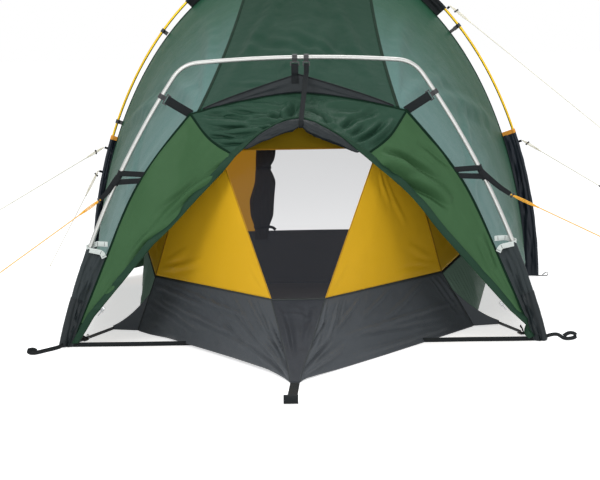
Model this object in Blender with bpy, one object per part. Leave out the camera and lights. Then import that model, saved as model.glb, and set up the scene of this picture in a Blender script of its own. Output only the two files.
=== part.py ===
"""Two-hoop backpacking tent, pitched, with its foot-end hatch and head-end door open.

Metres, +Z up. The foot hoop faces -Y and the door end faces +Y. The origin is on the ground,
in the middle of the pitched tent.
"""
import math

import bmesh
import bpy
import numpy as np
from mathutils import Matrix
from mathutils.bvhtree import BVHTree

# Frame of the tent: two hoops that stand square to the length
HOOP_SPACING = 1.57
FOOT_HALF = 0.695          # half width of the foot hoop on the ground
FOOT_HEIGHT = 0.8225       # pole centre at the middle of the foot hoop
SHOULDER_X = 0.329         # where the leg and the top of the foot hoop would meet
SHOULDER_DROP = 0.0145
SHOULDER_CUT = 0.045       # how far from that corner its bend starts
LEG_BULGE = 0.042
FOOT_POLE_RADIUS = 0.0063
MAIN_HALF = 0.79
MAIN_HEIGHT = 1.19
MAIN_POLE_RADIUS = 0.0046
POLE_FOOT_Z = 0.0045

# Reach of the tent in front of the foot hoop and behind the main hoop
TIP_REACH = 0.683
PROW_STRAP_LENGTH = 0.285
PROW_LOOP_REACH = 0.034
TAIL_REACH = 0.73
LOOP_REACH = 0.045
TAIL_LOOP_RADIUS = 0.008

# Cloth, webbing and the small gap that touching pieces keep
CLOTH = 0.002
WEBBING = 0.0014
GAP = 0.0003
SEAM = 0.0003
SEWN = 0.0005
FLANGE_GAP = 0.0008

# Fly between the hoops
FLY_HANG = {-1: 0.017, 1: 0.045}    # from the main pole in to the fly, left and right
FLY_HANG_TOP = 0.036
RIDGE_INSETS = (0.030, 0.052, 0.058, 0.095)   # from the foot hoop leg in to the fly's front edge
CORNER_DROP = 0.1045       # from the top of the foot hoop down to its corner hooks
GUSSET_DROP = 0.048        # from the foot hoop down to the middle of the hanging gusset's upper edge
RIDGE_DROP = 0.1025        # from the foot hoop down to the middle of the fly's front edge
SEAM_FROM_CORNER = 0.025
SEAM_X_MAIN = 0.20
HEM_Z = 0.012
HEM_RISE = 0.020

# Hood and its open hatch
HATCH_FOOT = 0.013
HATCH_LOW = (-0.065, 0.078)     # start of the straight zip, from the foot of the ridge
HATCH_HIGH = (0.095, -0.355)    # end of the straight zip, from the corner of the ridge
HATCH_BEND = (0.003, -0.235)
HATCH_SEAM = (-0.122, -0.122)   # foot of the corner seam, from the corner of the ridge
HATCH_TOP_DROP = 0.066
HATCH_TOP_BOW = (0.004, 0.016)  # out and up from the straight line, halfway to each side
HATCH_SEAM_LEAN = 0.86     # share of the hood's lean that its corner seam has reached
HATCH_BEND_LEAN = 0.70
HOOD_SEAM_BOW = (0.008, -0.012)
HOOD_LEAN = 0.13
ROLL_RADIUS = 0.0135
ROLL_HALF = 0.17
ROLL_STRAP_SLACK = 0.0022
FOLD_DEPTH = 0.007

# Sleeves, with the bore that the pole runs in
SLEEVE_WALL = 0.0022
SLEEVE_SLACK = 0.0012
SLEEVE_FLANGE = 0.0026
FOOT_SLEEVE_TOP = 0.285
MAIN_SLEEVE_TOP = 0.512
TRIM_LENGTH = 0.013
APEX_SLEEVE_HALF = 0.485
APEX_RING_GAP = 0.006
SLEEVE_TABS = {
    "guyline_main_left": (-1, 0.478),
    "guyline_rear_left": (-1, 0.395),
    "guyline_main_right": (1, 0.478),
    "guyline_top_right": (1, 0.7966 * MAIN_HEIGHT),
}
SLEEVE_TAB_LENGTH = 0.010
SLEEVE_TAB_WIDTH = 0.008

# Vestibule behind the main hoop, with its door folded open
BROW_LENGTH = 0.25
BROW_DROP = 0.165
DOOR_TOP_HALF = 0.205
DOOR_FOOT_HALF = 0.36
VESTIBULE_ROLL_RADIUS = 0.036
DOOR_TIES = (0.25, 0.72)
DOOR_TIE_NIP = 0.30        # share of its radius that the rolled door loses at a tie
DOOR_END_NIP = 0.22

# Inner tent
FLOOR_CORNER_X = 0.507
FLOOR_CORNER_Y = 0.311     # behind the foot hoop
FLOOR_HEAD_HALF = 0.605
RIM_LEAN = 0.045
RIM_Z = 0.17
GUSSET_TOP_HALF = 0.073
GUSSET_TOP_REACH = 0.30
TIP_HALF = 0.0125
FLOOR_THICK = 0.002
HEAD_GAP = 0.12            # from the main hoop in to the head wall
INNER_HEAD_HALF = 0.602
INNER_HEAD_DROP = 0.115
INNER_CORNER_X = 0.272
INNER_CORNER_Y = 0.062
INNER_CORNER_DROP = 0.2245 # from the top of the foot hoop, as are the next two
INNER_TOP_DROP = 0.1775
MESH_TOP_DROP = 0.2625
MESH_MARGIN = 0.022        # yellow left between the mesh and the corner
INNER_SEAM_X = 0.30
DOORWAY_LEFT = -0.165
DOORWAY_RIGHT = 0.36
DOORWAY_TOP = 0.84
DOORWAY_BEND = 0.11
DOOR_ROLL_RADIUS = 0.034
DOOR_ROLL_LENGTH = 0.62
DOOR_ROLL_SWAY = 0.006
HANGER_WIDTH = 0.005

# Webbing, hooks and other fittings
WIDE_WEBBING = 0.025
TOP_WEBBING = 0.020
ROLL_STRAP_WIDTH = 0.014
BASE_WEBBING = 0.013
HOOK_WALL = 0.0032
HOOK_WIDTH = 0.014
HOOK_PLATE = 0.003
HOOK_NECK = 0.0015
HOOK_BAR = 0.0033
HOOK_PAIR_X = 0.009
HOOK_PAIR_STEP = 0.033
HOOK_SWING_GAP = 0.0024
BAND_WIDTH = 0.015
BAND_Z = (0.500, 0.479)
BAND_RING = {-1: (0.052, 0.062), 1: (0.082, 0.066)}    # guyline tab's end, out and down from the pole
TAB_WIDTH = 0.007
TAB_Z = 0.297
CLIP_WALL = 0.0026
CLIP_WIDTH = 0.014
CLIP_NECK = 0.020
CLIP_ABOVE_TRIM = 0.050
MAIN_CLIPS = (
    ("main_clip_left_high", -1, 0.7504 * MAIN_HEIGHT),
    ("main_clip_left_low", -1, MAIN_SLEEVE_TOP + TRIM_LENGTH + CLIP_ABOVE_TRIM),
    ("main_clip_right", 1, 0.7504 * MAIN_HEIGHT),
)
FOOT_LOOP_AIM = {-1: (-0.075, -0.159, 0), 1: (0.085, 0.012, 0)}
FOOT_LOOP_LENGTH = {-1: 0.165, 1: 0.082}
MAIN_LOOP_LENGTH = 0.034
WING_X = 0.583
WING_Y = 0.325
WING_TOP_Z = 0.115
CORNER_STRAP_INSET = 0.024
BUCKLE_FROM_FOOT = 0.115
BASE_STRAP_MARGIN = 0.030
BUCKLE_LENGTH = 0.034
BUCKLE_WIDTH = 0.024
SLIDER_LENGTH = 0.013
SLIDER_WIDTH = 0.009
SLIDER_PULL = 0.018
HATCH_SLIDER_Z = 0.033     # along the zip, up from its lower end
DOOR_SLIDER_Z = 0.043
TENSIONER_LENGTH = 0.026
TENSIONER_FROM_END = 0.058
CORD_RADIUS = 0.0013
KNOT_SWELL = 2.0

FOOT_Y = (TIP_REACH + PROW_STRAP_LENGTH + PROW_LOOP_REACH - HOOP_SPACING - TAIL_REACH - LOOP_REACH) / 2
MAIN_Y = FOOT_Y + HOOP_SPACING
HEAD_Y = MAIN_Y - HEAD_GAP
TAIL_Y = MAIN_Y + TAIL_REACH
FLOOR_Z = WEBBING + 2 * GAP
GUSSET_TOP = FOOT_HEIGHT - GUSSET_DROP
CORNER_Z = FOOT_HEIGHT - CORNER_DROP
INNER_CORNER_Z = FOOT_HEIGHT - INNER_CORNER_DROP
INNER_TOP_Z = FOOT_HEIGHT - INNER_TOP_DROP
MESH_TOP_Z = FOOT_HEIGHT - MESH_TOP_DROP
INNER_HEAD_HEIGHT = MAIN_HEIGHT - INNER_HEAD_DROP
INNER_FRONT_SLOPE = (INNER_CORNER_Y + GUSSET_TOP_REACH) / (INNER_TOP_Z - RIM_Z)

POLE_POINTS = 65
POLE_SIDES = 8
LEG_ROWS = 11
ARCH_ROWS = 12
FLY_COLUMNS = 9

COLOURS = {
    "silver": ((0.78, 0.78, 0.74), 0.32, 0.85),
    "yellow_pole": ((0.76, 0.52, 0.03), 0.30, 0.60),
    "fly_green": ((0.035, 0.115, 0.068), 0.62, 0.0),
    "fly_teal": ((0.115, 0.205, 0.155), 0.55, 0.0),
    "hood_green": ((0.032, 0.105, 0.048), 0.62, 0.0),
    "navy": ((0.013, 0.019, 0.030), 0.70, 0.0),
    "grey": ((0.034, 0.042, 0.045), 0.75, 0.0),
    "black": ((0.010, 0.010, 0.011), 0.55, 0.0),
    "orange": ((0.84, 0.27, 0.03), 0.60, 0.0),
    "yellow": ((0.62, 0.37, 0.020), 0.60, 0.0),
    "mesh": ((0.24, 0.24, 0.25), 0.80, 0.0),
    "floor": ((0.052, 0.056, 0.064), 0.65, 0.0),
    "tape": ((0.55, 0.62, 0.58), 0.40, 0.0),
    "pale_cord": ((0.72, 0.69, 0.58), 0.60, 0.0),
    "orange_cord": ((0.80, 0.40, 0.04), 0.60, 0.0),
}


def clear_scene():
    for thing in list(bpy.data.objects):
        bpy.data.objects.remove(thing, do_unlink=True)


def material(name):
    """A Principled material in one of the tent's colours."""
    found = bpy.data.materials.get(name)
    if found:
        return found
    colour, roughness, metallic = COLOURS[name]
    made = bpy.data.materials.new(name)
    made.use_nodes = True
    shader = made.node_tree.nodes["Principled BSDF"]
    shader.inputs["Base Color"].default_value = (*colour, 1.0)
    shader.inputs["Roughness"].default_value = roughness
    shader.inputs["Metallic"].default_value = metallic
    return made


def place(name, mesh, colour, parent, matrix=None, smooth=35):
    """One named object, smooth but for its sharp edges."""
    mesh.materials.append(material(colour))
    mesh.shade_smooth()
    mesh.set_sharp_from_angle(angle=math.radians(smooth))
    thing = bpy.data.objects.new(name, mesh)
    bpy.context.scene.collection.objects.link(thing)
    thing.parent = parent
    if matrix is not None:
        thing.matrix_local = matrix
    return thing


def mesh_of(name, bodies):
    """One mesh from bodies, each a pair of points and faces, with all faces turned out."""
    made = bmesh.new()
    for points, faces in bodies:
        corners = [made.verts.new(tuple(float(c) for c in point)) for point in points]
        for face in faces:
            made.faces.new([corners[i] for i in face])
    bmesh.ops.recalc_face_normals(made, faces=made.faces)
    mesh = bpy.data.meshes.new(name)
    made.to_mesh(mesh)
    made.free()
    return mesh


def fuse(main, bodies, colour="black"):
    """Join bodies that run into a piece to it, so that they are one."""
    for number, body in enumerate(bodies):
        name = main.name + "_joined_" + str(number)
        part = place(name, mesh_of(name, [body]), colour, main.parent)
        part.hide_render = True
        part.display_type = "WIRE"
        union = main.modifiers.new(name, "BOOLEAN")
        union.operation = "UNION"
        union.object = part
    return main


def vec(*parts):
    return np.array(parts, dtype=float)


def unit(vector):
    return vector / np.linalg.norm(vector)


def resample(points, count):
    """Points spaced evenly along a polyline."""
    points = np.asarray(points, dtype=float)
    steps = np.linalg.norm(np.diff(points, axis=0), axis=1)
    run = np.concatenate([[0.0], np.cumsum(steps)])
    marks = np.linspace(0.0, run[-1], count)
    return np.stack([np.interp(marks, run, points[:, k]) for k in range(points.shape[1])], axis=1)


def smooth_line(points, steps=16):
    """A Catmull-Rom curve through points."""
    points = [np.asarray(p, dtype=float) for p in points]
    ends = [2 * points[0] - points[1]] + points + [2 * points[-1] - points[-2]]
    curve = []
    for i in range(1, len(ends) - 2):
        a, b, c, d = ends[i - 1:i + 3]
        for step in range(steps):
            t = step / steps
            curve.append(0.5 * (2 * b + (c - a) * t + (2 * a - 5 * b + 4 * c - d) * t ** 2
                                + (3 * b - a - 3 * c + d) * t ** 3))
    curve.append(points[-1])
    return np.array(curve)


def straight(start, end, count):
    marks = np.linspace(0.0, 1.0, count)[:, None]
    return start * (1 - marks) + end * marks


def tangents(path):
    """Unit direction of a path at each of its points."""
    ahead = np.vstack([path[1:], 2 * path[-1] - path[-2]])
    behind = np.vstack([2 * path[0] - path[1], path[:-1]])
    along = ahead - behind
    return along / np.linalg.norm(along, axis=1)[:, None]


def at_height(path, height):
    """Point and direction where a rising path reaches a height."""
    index = int(np.argmax(path[:, 2] >= height))
    low, high = path[index - 1], path[index]
    share = (height - low[2]) / (high[2] - low[2])
    return low + (high - low) * share, unit(high - low)


def loft(rings, closed=False):
    """A body through rings of equal count, capped at both ends or joined round on itself."""
    count = len(rings[0])
    points = [p for ring in rings for p in ring]
    faces = []
    spans = len(rings) if closed else len(rings) - 1
    for i in range(spans):
        here = i * count
        there = ((i + 1) % len(rings)) * count
        for j in range(count):
            k = (j + 1) % count
            faces.append((here + j, here + k, there + k, there + j))
    if not closed:
        faces.append(tuple(range(count)))
        faces.append(tuple(range((len(rings) - 1) * count, len(rings) * count)))
    return points, faces


def drop_to(ring, along, height):
    """A ring moved along a direction until each of its points is at a height."""
    return [p - along * ((p[2] - height) / along[2]) for p in ring]


def rod(path, radii, sides):
    """A round bar along a path that lies in one plane square to Y."""
    across = vec(0, 1, 0)
    rings = []
    for point, along, radius in zip(path, tangents(path), radii):
        up = unit(np.cross(along, across))
        angles = [2 * math.pi * k / sides for k in range(sides)]
        rings.append([point + radius * (math.cos(a) * up + math.sin(a) * across) for a in angles])
    return rings


def ribbon(path, width, side, thick=WEBBING, widths=None):
    """A strap along a path, with its width along side."""
    side = np.asarray(side, dtype=float)
    rings = []
    for i, (point, along) in enumerate(zip(path, tangents(path))):
        across = unit(side - along * np.dot(side, along))
        up = np.cross(along, across) * thick / 2
        half = across * (widths[i] if widths is not None else width) / 2
        rings.append([point + half + up, point - half + up, point - half - up, point + half - up])
    return loft(rings)


def round_turn(centre, start, end, radius, first, last, steps):
    """Points of an arc, with start and end as its two square directions."""
    angles = np.linspace(first, last, steps)
    return np.array([centre + radius * (math.cos(a) * start + math.sin(a) * end) for a in angles])


def lattice(pairs, stations, present, closed=False):
    """A body of cells: pairs give a section's two edges, stations its places along X."""
    spans = len(pairs) if closed else len(pairs) - 1
    numbers = {}
    points = []

    def corner(i, edge, k):
        key = (i % len(pairs), edge, k)
        if key not in numbers:
            numbers[key] = len(points)
            y, z = pairs[key[0]][edge]
            points.append((stations[k], y, z))
        return numbers[key]

    seen = {}
    for i in range(spans):
        for k in range(len(stations) - 1):
            if not present(i, k):
                continue
            a = [corner(i, 0, k), corner(i, 1, k), corner(i + 1, 1, k), corner(i + 1, 0, k)]
            b = [corner(i, 0, k + 1), corner(i, 1, k + 1), corner(i + 1, 1, k + 1), corner(i + 1, 0, k + 1)]
            cell = [a, b] + [[a[n], a[(n + 1) % 4], b[(n + 1) % 4], b[n]] for n in range(4)]
            for face in cell:
                seen.setdefault(frozenset(face), []).append(tuple(face))
    return points, [faces[0] for faces in seen.values() if len(faces) == 1]


def sheet(bottom, top, front, back, folds=None):
    """Grid of a cloth panel filled in between its four edges, drawn in by the seam gap."""
    bottom, top, front, back = (np.asarray(e, dtype=float) for e in (bottom, top, front, back))
    cols, rows = len(bottom), len(front)
    grid = np.zeros((rows, cols, 3))
    for j in range(rows):
        v = j / (rows - 1)
        for i in range(cols):
            u = i / (cols - 1)
            ends = (1 - u) * front[j] + u * back[j]
            sides = (1 - v) * bottom[i] + v * top[i]
            corners = ((1 - u) * (1 - v) * bottom[0] + u * (1 - v) * bottom[-1]
                       + (1 - u) * v * top[0] + u * v * top[-1])
            grid[j, i] = ends + sides - corners
            if folds is not None:
                grid[j, i] += folds(u, v)
    for edge, inner in (((0, slice(None)), (1, slice(None))), ((-1, slice(None)), (-2, slice(None))),
                        ((slice(None), 0), (slice(None), 1)), ((slice(None), -1), (slice(None), -2))):
        step = grid[inner] - grid[edge]
        grid[edge] += step / np.linalg.norm(step, axis=-1)[..., None] * SEAM
    return grid


def cloth(name, grids, colour, parent, outward, thick=CLOTH):
    """Panels of cloth in one object, thickened on the side that outward points to."""
    made = bmesh.new()
    for grid, out in zip(grids, outward):
        rows, cols = grid.shape[:2]
        corners = [[made.verts.new(grid[j, i]) for i in range(cols)] for j in range(rows)]
        middle = grid[rows // 2, cols // 2]
        normal = np.cross(grid[rows // 2, cols // 2 - 1] - middle, grid[rows // 2 - 1, cols // 2] - middle)
        flip = np.dot(normal, out) < 0
        for j in range(rows - 1):
            for i in range(cols - 1):
                face = [corners[j][i], corners[j][i + 1], corners[j + 1][i + 1], corners[j + 1][i]]
                made.faces.new(face[::-1] if flip else face)
    mesh = bpy.data.meshes.new(name)
    made.to_mesh(mesh)
    made.free()
    panel = place(name, mesh, colour, parent)
    shell = panel.modifiers.new("thickness", "SOLIDIFY")
    shell.thickness = thick
    shell.offset = 1.0
    return panel


# Lines of the frame and the panels

def foot_hoop_leg():
    """Right leg of the foot hoop, from the ground to the start of its shoulder bend."""
    foot = vec(FOOT_HALF, 0)
    shoulder = vec(SHOULDER_X, FOOT_HEIGHT - SHOULDER_DROP)
    out = unit(vec(shoulder[1] - foot[1], foot[0] - shoulder[0]))
    length = np.linalg.norm(shoulder - foot)
    shares = np.linspace(0.0, 1.0 - SHOULDER_CUT / length, 40)
    return np.array([foot + (shoulder - foot) * t + out * LEG_BULGE * 4 * t * (1 - t) for t in shares])


def foot_hoop_top():
    """Top of the foot hoop, from the end of its right shoulder bend to the middle."""
    across = np.linspace(SHOULDER_X - SHOULDER_CUT, 0.0, 24)
    return np.array([(x, FOOT_HEIGHT - SHOULDER_DROP * (x / SHOULDER_X) ** 2) for x in across])


def foot_hoop():
    """Right half of the foot hoop, from the ground to the middle."""
    leg, top = foot_hoop_leg(), foot_hoop_top()
    corner = vec(SHOULDER_X, FOOT_HEIGHT - SHOULDER_DROP)
    bend = [leg[-1] * (1 - t) ** 2 + corner * 2 * t * (1 - t) + top[0] * t ** 2
            for t in np.linspace(0.1, 0.9, 9)]
    flat = np.vstack([leg, bend, top])
    return np.array([(x, FOOT_Y, z) for x, z in flat])


def main_hoop():
    """Right half of the main hoop, a half ellipse, from the ground to the middle."""
    angles = np.linspace(0.0, math.pi / 2, 90)
    return np.array([(MAIN_HALF * math.cos(a), MAIN_Y, MAIN_HEIGHT * math.sin(a)) for a in angles])


def both_sides(half):
    """A whole hoop from its right half, left foot to right foot."""
    mirror = half * vec(-1, 1, 1)
    return np.vstack([mirror, half[::-1][1:]])


def pole_line(half):
    """Points that a hoop's pole is made through, evenly spaced, left foot to right foot."""
    return resample(both_sides(half), POLE_POINTS)


def pole_leg(half):
    """Right leg of a hoop's pole, from the ground up."""
    line = pole_line(half)
    return line[POLE_POINTS // 2:][::-1]


def fly_arch(side, count, first_z=HEM_Z, last_x=SEAM_X_MAIN):
    """The fly's line under the main hoop, from near the ground up to a distance from the middle."""
    half = MAIN_HALF - FLY_HANG[side]
    height = MAIN_HEIGHT - FLY_HANG_TOP
    angles = np.linspace(math.asin(first_z / height), math.acos(last_x / half), 60)
    return resample([(side * half * math.cos(a), MAIN_Y, height * math.sin(a)) for a in angles], count)


def ridge_leg(side, count):
    """The fly's front edge inside one leg of the foot hoop, from the ground up to its corner."""
    hoop = foot_hoop()
    leg = hoop[hoop[:, 2] <= CORNER_Z]
    leg = resample(np.vstack([leg, at_height(hoop, CORNER_Z)[0]]), 31)
    insets = smooth_line([(i,) for i in RIDGE_INSETS])[:, 0]
    inset = np.interp(np.linspace(0, 1, 31), np.linspace(0, 1, len(insets)), insets)
    line = []
    for point, along, step in zip(leg, tangents(leg), inset):
        inward = vec(-along[2], 0, along[0])
        line.append((point + inward * step) * vec(side, 1, 1))
    line = np.array(line)
    start = at_height(line, HEM_Z)[0]
    return resample(np.vstack([start, line[line[:, 2] > HEM_Z]]), count)


def ridge_corner(side):
    return ridge_leg(side, 2)[-1]


def ridge_height(x):
    """Height of the fly's front edge between its two corners."""
    corner = ridge_corner(1)
    top = FOOT_HEIGHT - RIDGE_DROP
    return top - (top - corner[2]) * abs(x / corner[0]) ** 1.5


def ridge_top(first_x, last_x, count):
    return np.array([(x, FOOT_Y, ridge_height(x)) for x in np.linspace(first_x, last_x, count)])


def seam_start(side):
    x = side * (ridge_corner(1)[0] - SEAM_FROM_CORNER)
    return vec(x, FOOT_Y, ridge_height(x))


def fly_seam(side, count):
    """Seam between the roof and one side of the fly, drawn in a little along its length."""
    start = seam_start(side)
    end = fly_arch(side, 2)[-1]
    share = np.linspace(0, 1, count)
    line = straight(start, end, count)
    sag = 4 * share * (1 - share)
    line[:, 0] -= side * 0.012 * sag
    line[:, 2] -= 0.010 * sag
    return line


def hatch_seam_foot(side):
    corner = ridge_corner(side)
    y = FOOT_Y - HATCH_SEAM_LEAN * HOOD_LEAN
    return vec(corner[0] + side * HATCH_SEAM[0], y, corner[2] + HATCH_SEAM[1])


def hatch_zip(side):
    """Ends of the straight stretch of the hatch's zip."""
    foot, corner = ridge_leg(side, 2)
    top = FOOT_HEIGHT - RIDGE_DROP - HATCH_TOP_DROP
    low = vec(foot[0] + side * HATCH_LOW[0], 0, foot[2] + HATCH_LOW[1])
    high = vec(corner[0] + side * HATCH_HIGH[0], 0, corner[2] + HATCH_HIGH[1])
    for end in (low, high):
        end[1] = FOOT_Y - HOOD_LEAN * end[2] / top
    return low, high


def hatch_side(side, count):
    """The hatch's edge on one side, from the ground up to the corner seam."""
    foot, corner = ridge_leg(side, 2)
    low, high = hatch_zip(side)
    y = FOOT_Y - HATCH_BEND_LEAN * HOOD_LEAN
    bend = vec(corner[0] + side * HATCH_BEND[0], y, corner[2] + HATCH_BEND[1])
    start = vec(foot[0] - side * HATCH_FOOT, FOOT_Y - 0.002, HEM_Z)
    upper = smooth_line([high, bend, hatch_seam_foot(side)])
    return resample(np.vstack([start, straight(low, high, 12), upper[1:]]), count)


def hatch_top(first, last, count):
    """The hatch's edge across the top, between two shares of the way from left to right."""
    left, right = hatch_seam_foot(-1), hatch_seam_foot(1)
    middle = vec(0, FOOT_Y - HOOD_LEAN, FOOT_HEIGHT - RIDGE_DROP - HATCH_TOP_DROP)
    quarter = (right + middle) / 2 + vec(HATCH_TOP_BOW[0], 0, HATCH_TOP_BOW[1])
    other = quarter * vec(-1, 1, 1)
    whole = resample(smooth_line([left, other, middle, quarter, right]), 61)
    return resample(whole[int(round(first * 60)):int(round(last * 60)) + 1], count)


def hook_frame(origin, x_axis, z_axis):
    """Matrix that puts a fitting's X and Z axes along two directions."""
    z_axis = unit(z_axis)
    x_axis = unit(x_axis - z_axis * np.dot(x_axis, z_axis))
    y_axis = np.cross(z_axis, x_axis)
    rows = [[x_axis[r], y_axis[r], z_axis[r], origin[r]] for r in range(3)]
    return Matrix(rows + [[0, 0, 0, 1]])


# Poles and sleeves

def pole(name, half, radius, colour, parent):
    """A hoop pole that stands in its two sleeve pockets."""
    path = pole_line(half)
    rings = rod(path, [radius] * len(path), POLE_SIDES)
    along = tangents(path)
    rings[0] = drop_to(rings[0], along[0], POLE_FOOT_Z)
    rings[-1] = drop_to(rings[-1], along[-1], POLE_FOOT_Z)
    return place(name, mesh_of(name, [loft(rings)]), colour, parent)


def sleeve_rings(path, inward, reaches, radius):
    """Outer and bore rings of a sleeve whose flange reaches inward to the fly."""
    alongs = tangents(path)
    alongs[-1] = unit(path[-1] - path[-2])
    outer, bore = [], []
    ends = [math.radians(a) for a in np.linspace(40, 320, 9)]
    for point, along, inner, reach in zip(path, alongs, inward, reaches):
        inner = unit(inner - along * np.dot(inner, along))
        across = np.cross(along, inner)
        wall = radius + SLEEVE_SLACK + SLEEVE_WALL
        tip = point + inner * max(reach, wall + 0.001)
        edge = across * SLEEVE_FLANGE / 2
        ring = [tip - edge, tip + edge]
        ring += [point + wall * (math.cos(a) * inner + math.sin(a) * across) for a in ends]
        outer.append(ring)
        turns = [math.radians(-12), math.radians(12)] + ends
        hole = radius + SLEEVE_SLACK
        bore.append([point + hole * (math.cos(a) * inner + math.sin(a) * across) for a in turns])
    return outer, bore


def pocket_sleeve(path, inward, reaches, radius):
    """A sleeve that ends in a closed pocket on the ground."""
    outer, bore = sleeve_rings(path, inward, reaches, radius)
    along = tangents(path)[0]
    outer[0] = drop_to(outer[0], along, 0.0)
    bore[0] = drop_to(bore[0], along, POLE_FOOT_Z - GAP)
    return loft(outer + bore[::-1])


def open_sleeve(path, inward, reaches, radius):
    """A sleeve that is open at both ends."""
    outer, bore = sleeve_rings(path, inward, reaches, radius)
    return loft(outer + bore[::-1], closed=True)


def reach_to(path, inward, edge):
    """How far each point of a path is from the near side of an edge, less the cloth and the sewn gap."""
    distance = []
    for point, inner in zip(path, inward):
        away = edge - point
        ahead = away @ inner
        aside = np.linalg.norm(away - np.outer(ahead, inner), axis=1)
        far = np.linalg.norm(away, axis=1)
        aside[far > 2 * far.min()] = np.inf
        distance.append(float(ahead[int(np.argmin(aside))]) - CLOTH - FLANGE_GAP)
    return distance


def inward_of(path, side):
    along = tangents(path)
    return np.array([(-side * abs(a[2]), 0, -abs(a[0])) for a in along])


def lower_leg(half, height, count, side):
    """A hoop's leg from the ground up to a height."""
    leg = pole_leg(half)
    leg = np.vstack([leg[leg[:, 2] < height], at_height(leg, height)[0]])
    return resample(leg, count) * vec(side, 1, 1)


def sleeves(parent):
    """Pockets at the feet of both hoops, the orange mouths and the sleeve over the top."""
    for side, word in ((-1, "left"), (1, "right")):
        leg = lower_leg(foot_hoop(), FOOT_SLEEVE_TOP, 9, side)
        inner = inward_of(leg, side)
        body = pocket_sleeve(leg, inner, reach_to(leg, inner, ridge_leg(side, 60)), FOOT_POLE_RADIUS)
        pocket = place("foot_sleeve_" + word, mesh_of("foot_sleeve_" + word, [body]), "grey", parent)
        aim = unit(vec(*FOOT_LOOP_AIM[side]))
        loops = [peg_loop(vec(side * FOOT_HALF, FOOT_Y, SEWN), aim, FOOT_LOOP_LENGTH[side], 0.03, 0.008)]
        if side == 1:
            loops.append(buckle_stub(side))
        fuse(pocket, loops)

        leg = lower_leg(main_hoop(), MAIN_SLEEVE_TOP, 12, side)
        inner = inward_of(leg, side)
        reach = reach_to(leg, inner, fly_arch(side, 90))
        body = pocket_sleeve(leg, inner, reach, MAIN_POLE_RADIUS)
        pocket = place("main_sleeve_" + word, mesh_of("main_sleeve_" + word, [body]), "navy", parent)
        foot_spot = vec(side * MAIN_HALF, MAIN_Y, SEWN)
        loops = [peg_loop(foot_spot, vec(side, 0, 0), MAIN_LOOP_LENGTH, 0.014, 0.006)]
        low = [spot for spot in SLEEVE_TABS.values() if spot[0] == side and spot[1] < MAIN_SLEEVE_TOP]
        loops += [sleeve_tab(*spot) for spot in low]
        fuse(pocket, loops)

        along = unit(leg[-1] - leg[-2])
        mouth = straight(leg[-1] + along * GAP, leg[-1] + along * TRIM_LENGTH, 3)
        body = open_sleeve(mouth, [inner[-1]] * 3, [reach[-1]] * 3, MAIN_POLE_RADIUS)
        place("sleeve_trim_" + word, mesh_of("sleeve_trim_" + word, [body]), "orange", parent)

    over = pole_line(main_hoop())
    end_z = float(np.interp(APEX_SLEEVE_HALF, over[:, 0], over[:, 2]))
    inside = over[np.abs(over[:, 0]) < APEX_SLEEVE_HALF - APEX_RING_GAP]
    ends = [vec(side * APEX_SLEEVE_HALF, MAIN_Y, end_z) for side in (-1, 1)]
    over = np.vstack([ends[0], inside, ends[1]])
    along = tangents(over)
    inner = np.array([(a[2], 0, -a[0]) for a in along])
    fly = np.vstack([fly_arch(-1, 80, last_x=0.002), fly_arch(1, 80, last_x=0.002)[::-1]])
    body = open_sleeve(over, inner, reach_to(over, inner, fly), MAIN_POLE_RADIUS)
    sleeve = place("apex_sleeve", mesh_of("apex_sleeve", [body]), "black", parent)
    fuse(sleeve, [sleeve_tab(*spot) for spot in SLEEVE_TABS.values() if spot[1] > MAIN_SLEEVE_TOP])


def tab_ends(side, height):
    """Where a guyline's tab leaves the main sleeve, where it ends, and its direction."""
    spot, along = at_height(pole_leg(main_hoop()), height)
    out = vec(side * abs(along[2]), 0, abs(along[0]))
    wall = MAIN_POLE_RADIUS + SLEEVE_SLACK + SLEEVE_WALL
    spot = spot * vec(side, 1, 1)
    return spot + out * (wall - SLEEVE_WALL / 2), spot + out * (wall + SLEEVE_TAB_LENGTH), out


def sleeve_tab(side, height):
    """Short tab on a sleeve of the main hoop, that a guyline is tied to."""
    start, end, out = tab_ends(side, height)
    return ribbon(straight(start, end, 3), SLEEVE_TAB_WIDTH, vec(-out[2], 0, out[0]))


# Fly, hood and vestibule

def fly_side_grid(side):
    """Cloth between the hoops on one side, from the hem up to the roof's seam."""
    front = np.vstack([ridge_leg(side, LEG_ROWS), seam_start(side)])
    back = fly_arch(side, LEG_ROWS + 1)
    share = np.linspace(0, 1, FLY_COLUMNS)
    hem = straight(front[0], back[0], FLY_COLUMNS)
    hem[:, 2] += HEM_RISE * 4 * share * (1 - share)
    return sheet(hem, fly_seam(side, FLY_COLUMNS), front, back)


def fly_roof_grid():
    """Cloth over the top between the hoops, from the left seam to the right one."""
    left, right = seam_start(-1), seam_start(1)
    front = ridge_top(left[0], right[0], FLY_COLUMNS)
    arch = np.vstack([fly_arch(-1, 60)[-1:], fly_top_arch(40), fly_arch(1, 60)[-1:]])
    return sheet(fly_seam(-1, FLY_COLUMNS), fly_seam(1, FLY_COLUMNS), front, resample(arch, FLY_COLUMNS))


def fly(parent):
    """Roof and two sides between the hoops."""
    for side, word in ((-1, "left"), (1, "right")):
        cloth("fly_side_" + word, [fly_side_grid(side)], "fly_teal", parent, [vec(side, 0, 0.3)])
    cloth("fly_roof", [fly_roof_grid()], "fly_green", parent, [vec(0, 0, 1)])


def fly_top_arch(count):
    """The fly's line under the top of the main hoop, between its two seams."""
    left = fly_arch(-1, 40, first_z=fly_arch(-1, 2)[-1][2], last_x=0.001)
    right = fly_arch(1, 40, first_z=fly_arch(1, 2)[-1][2], last_x=0.001)
    return resample(np.vstack([left, right[::-1]]), count)


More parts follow.
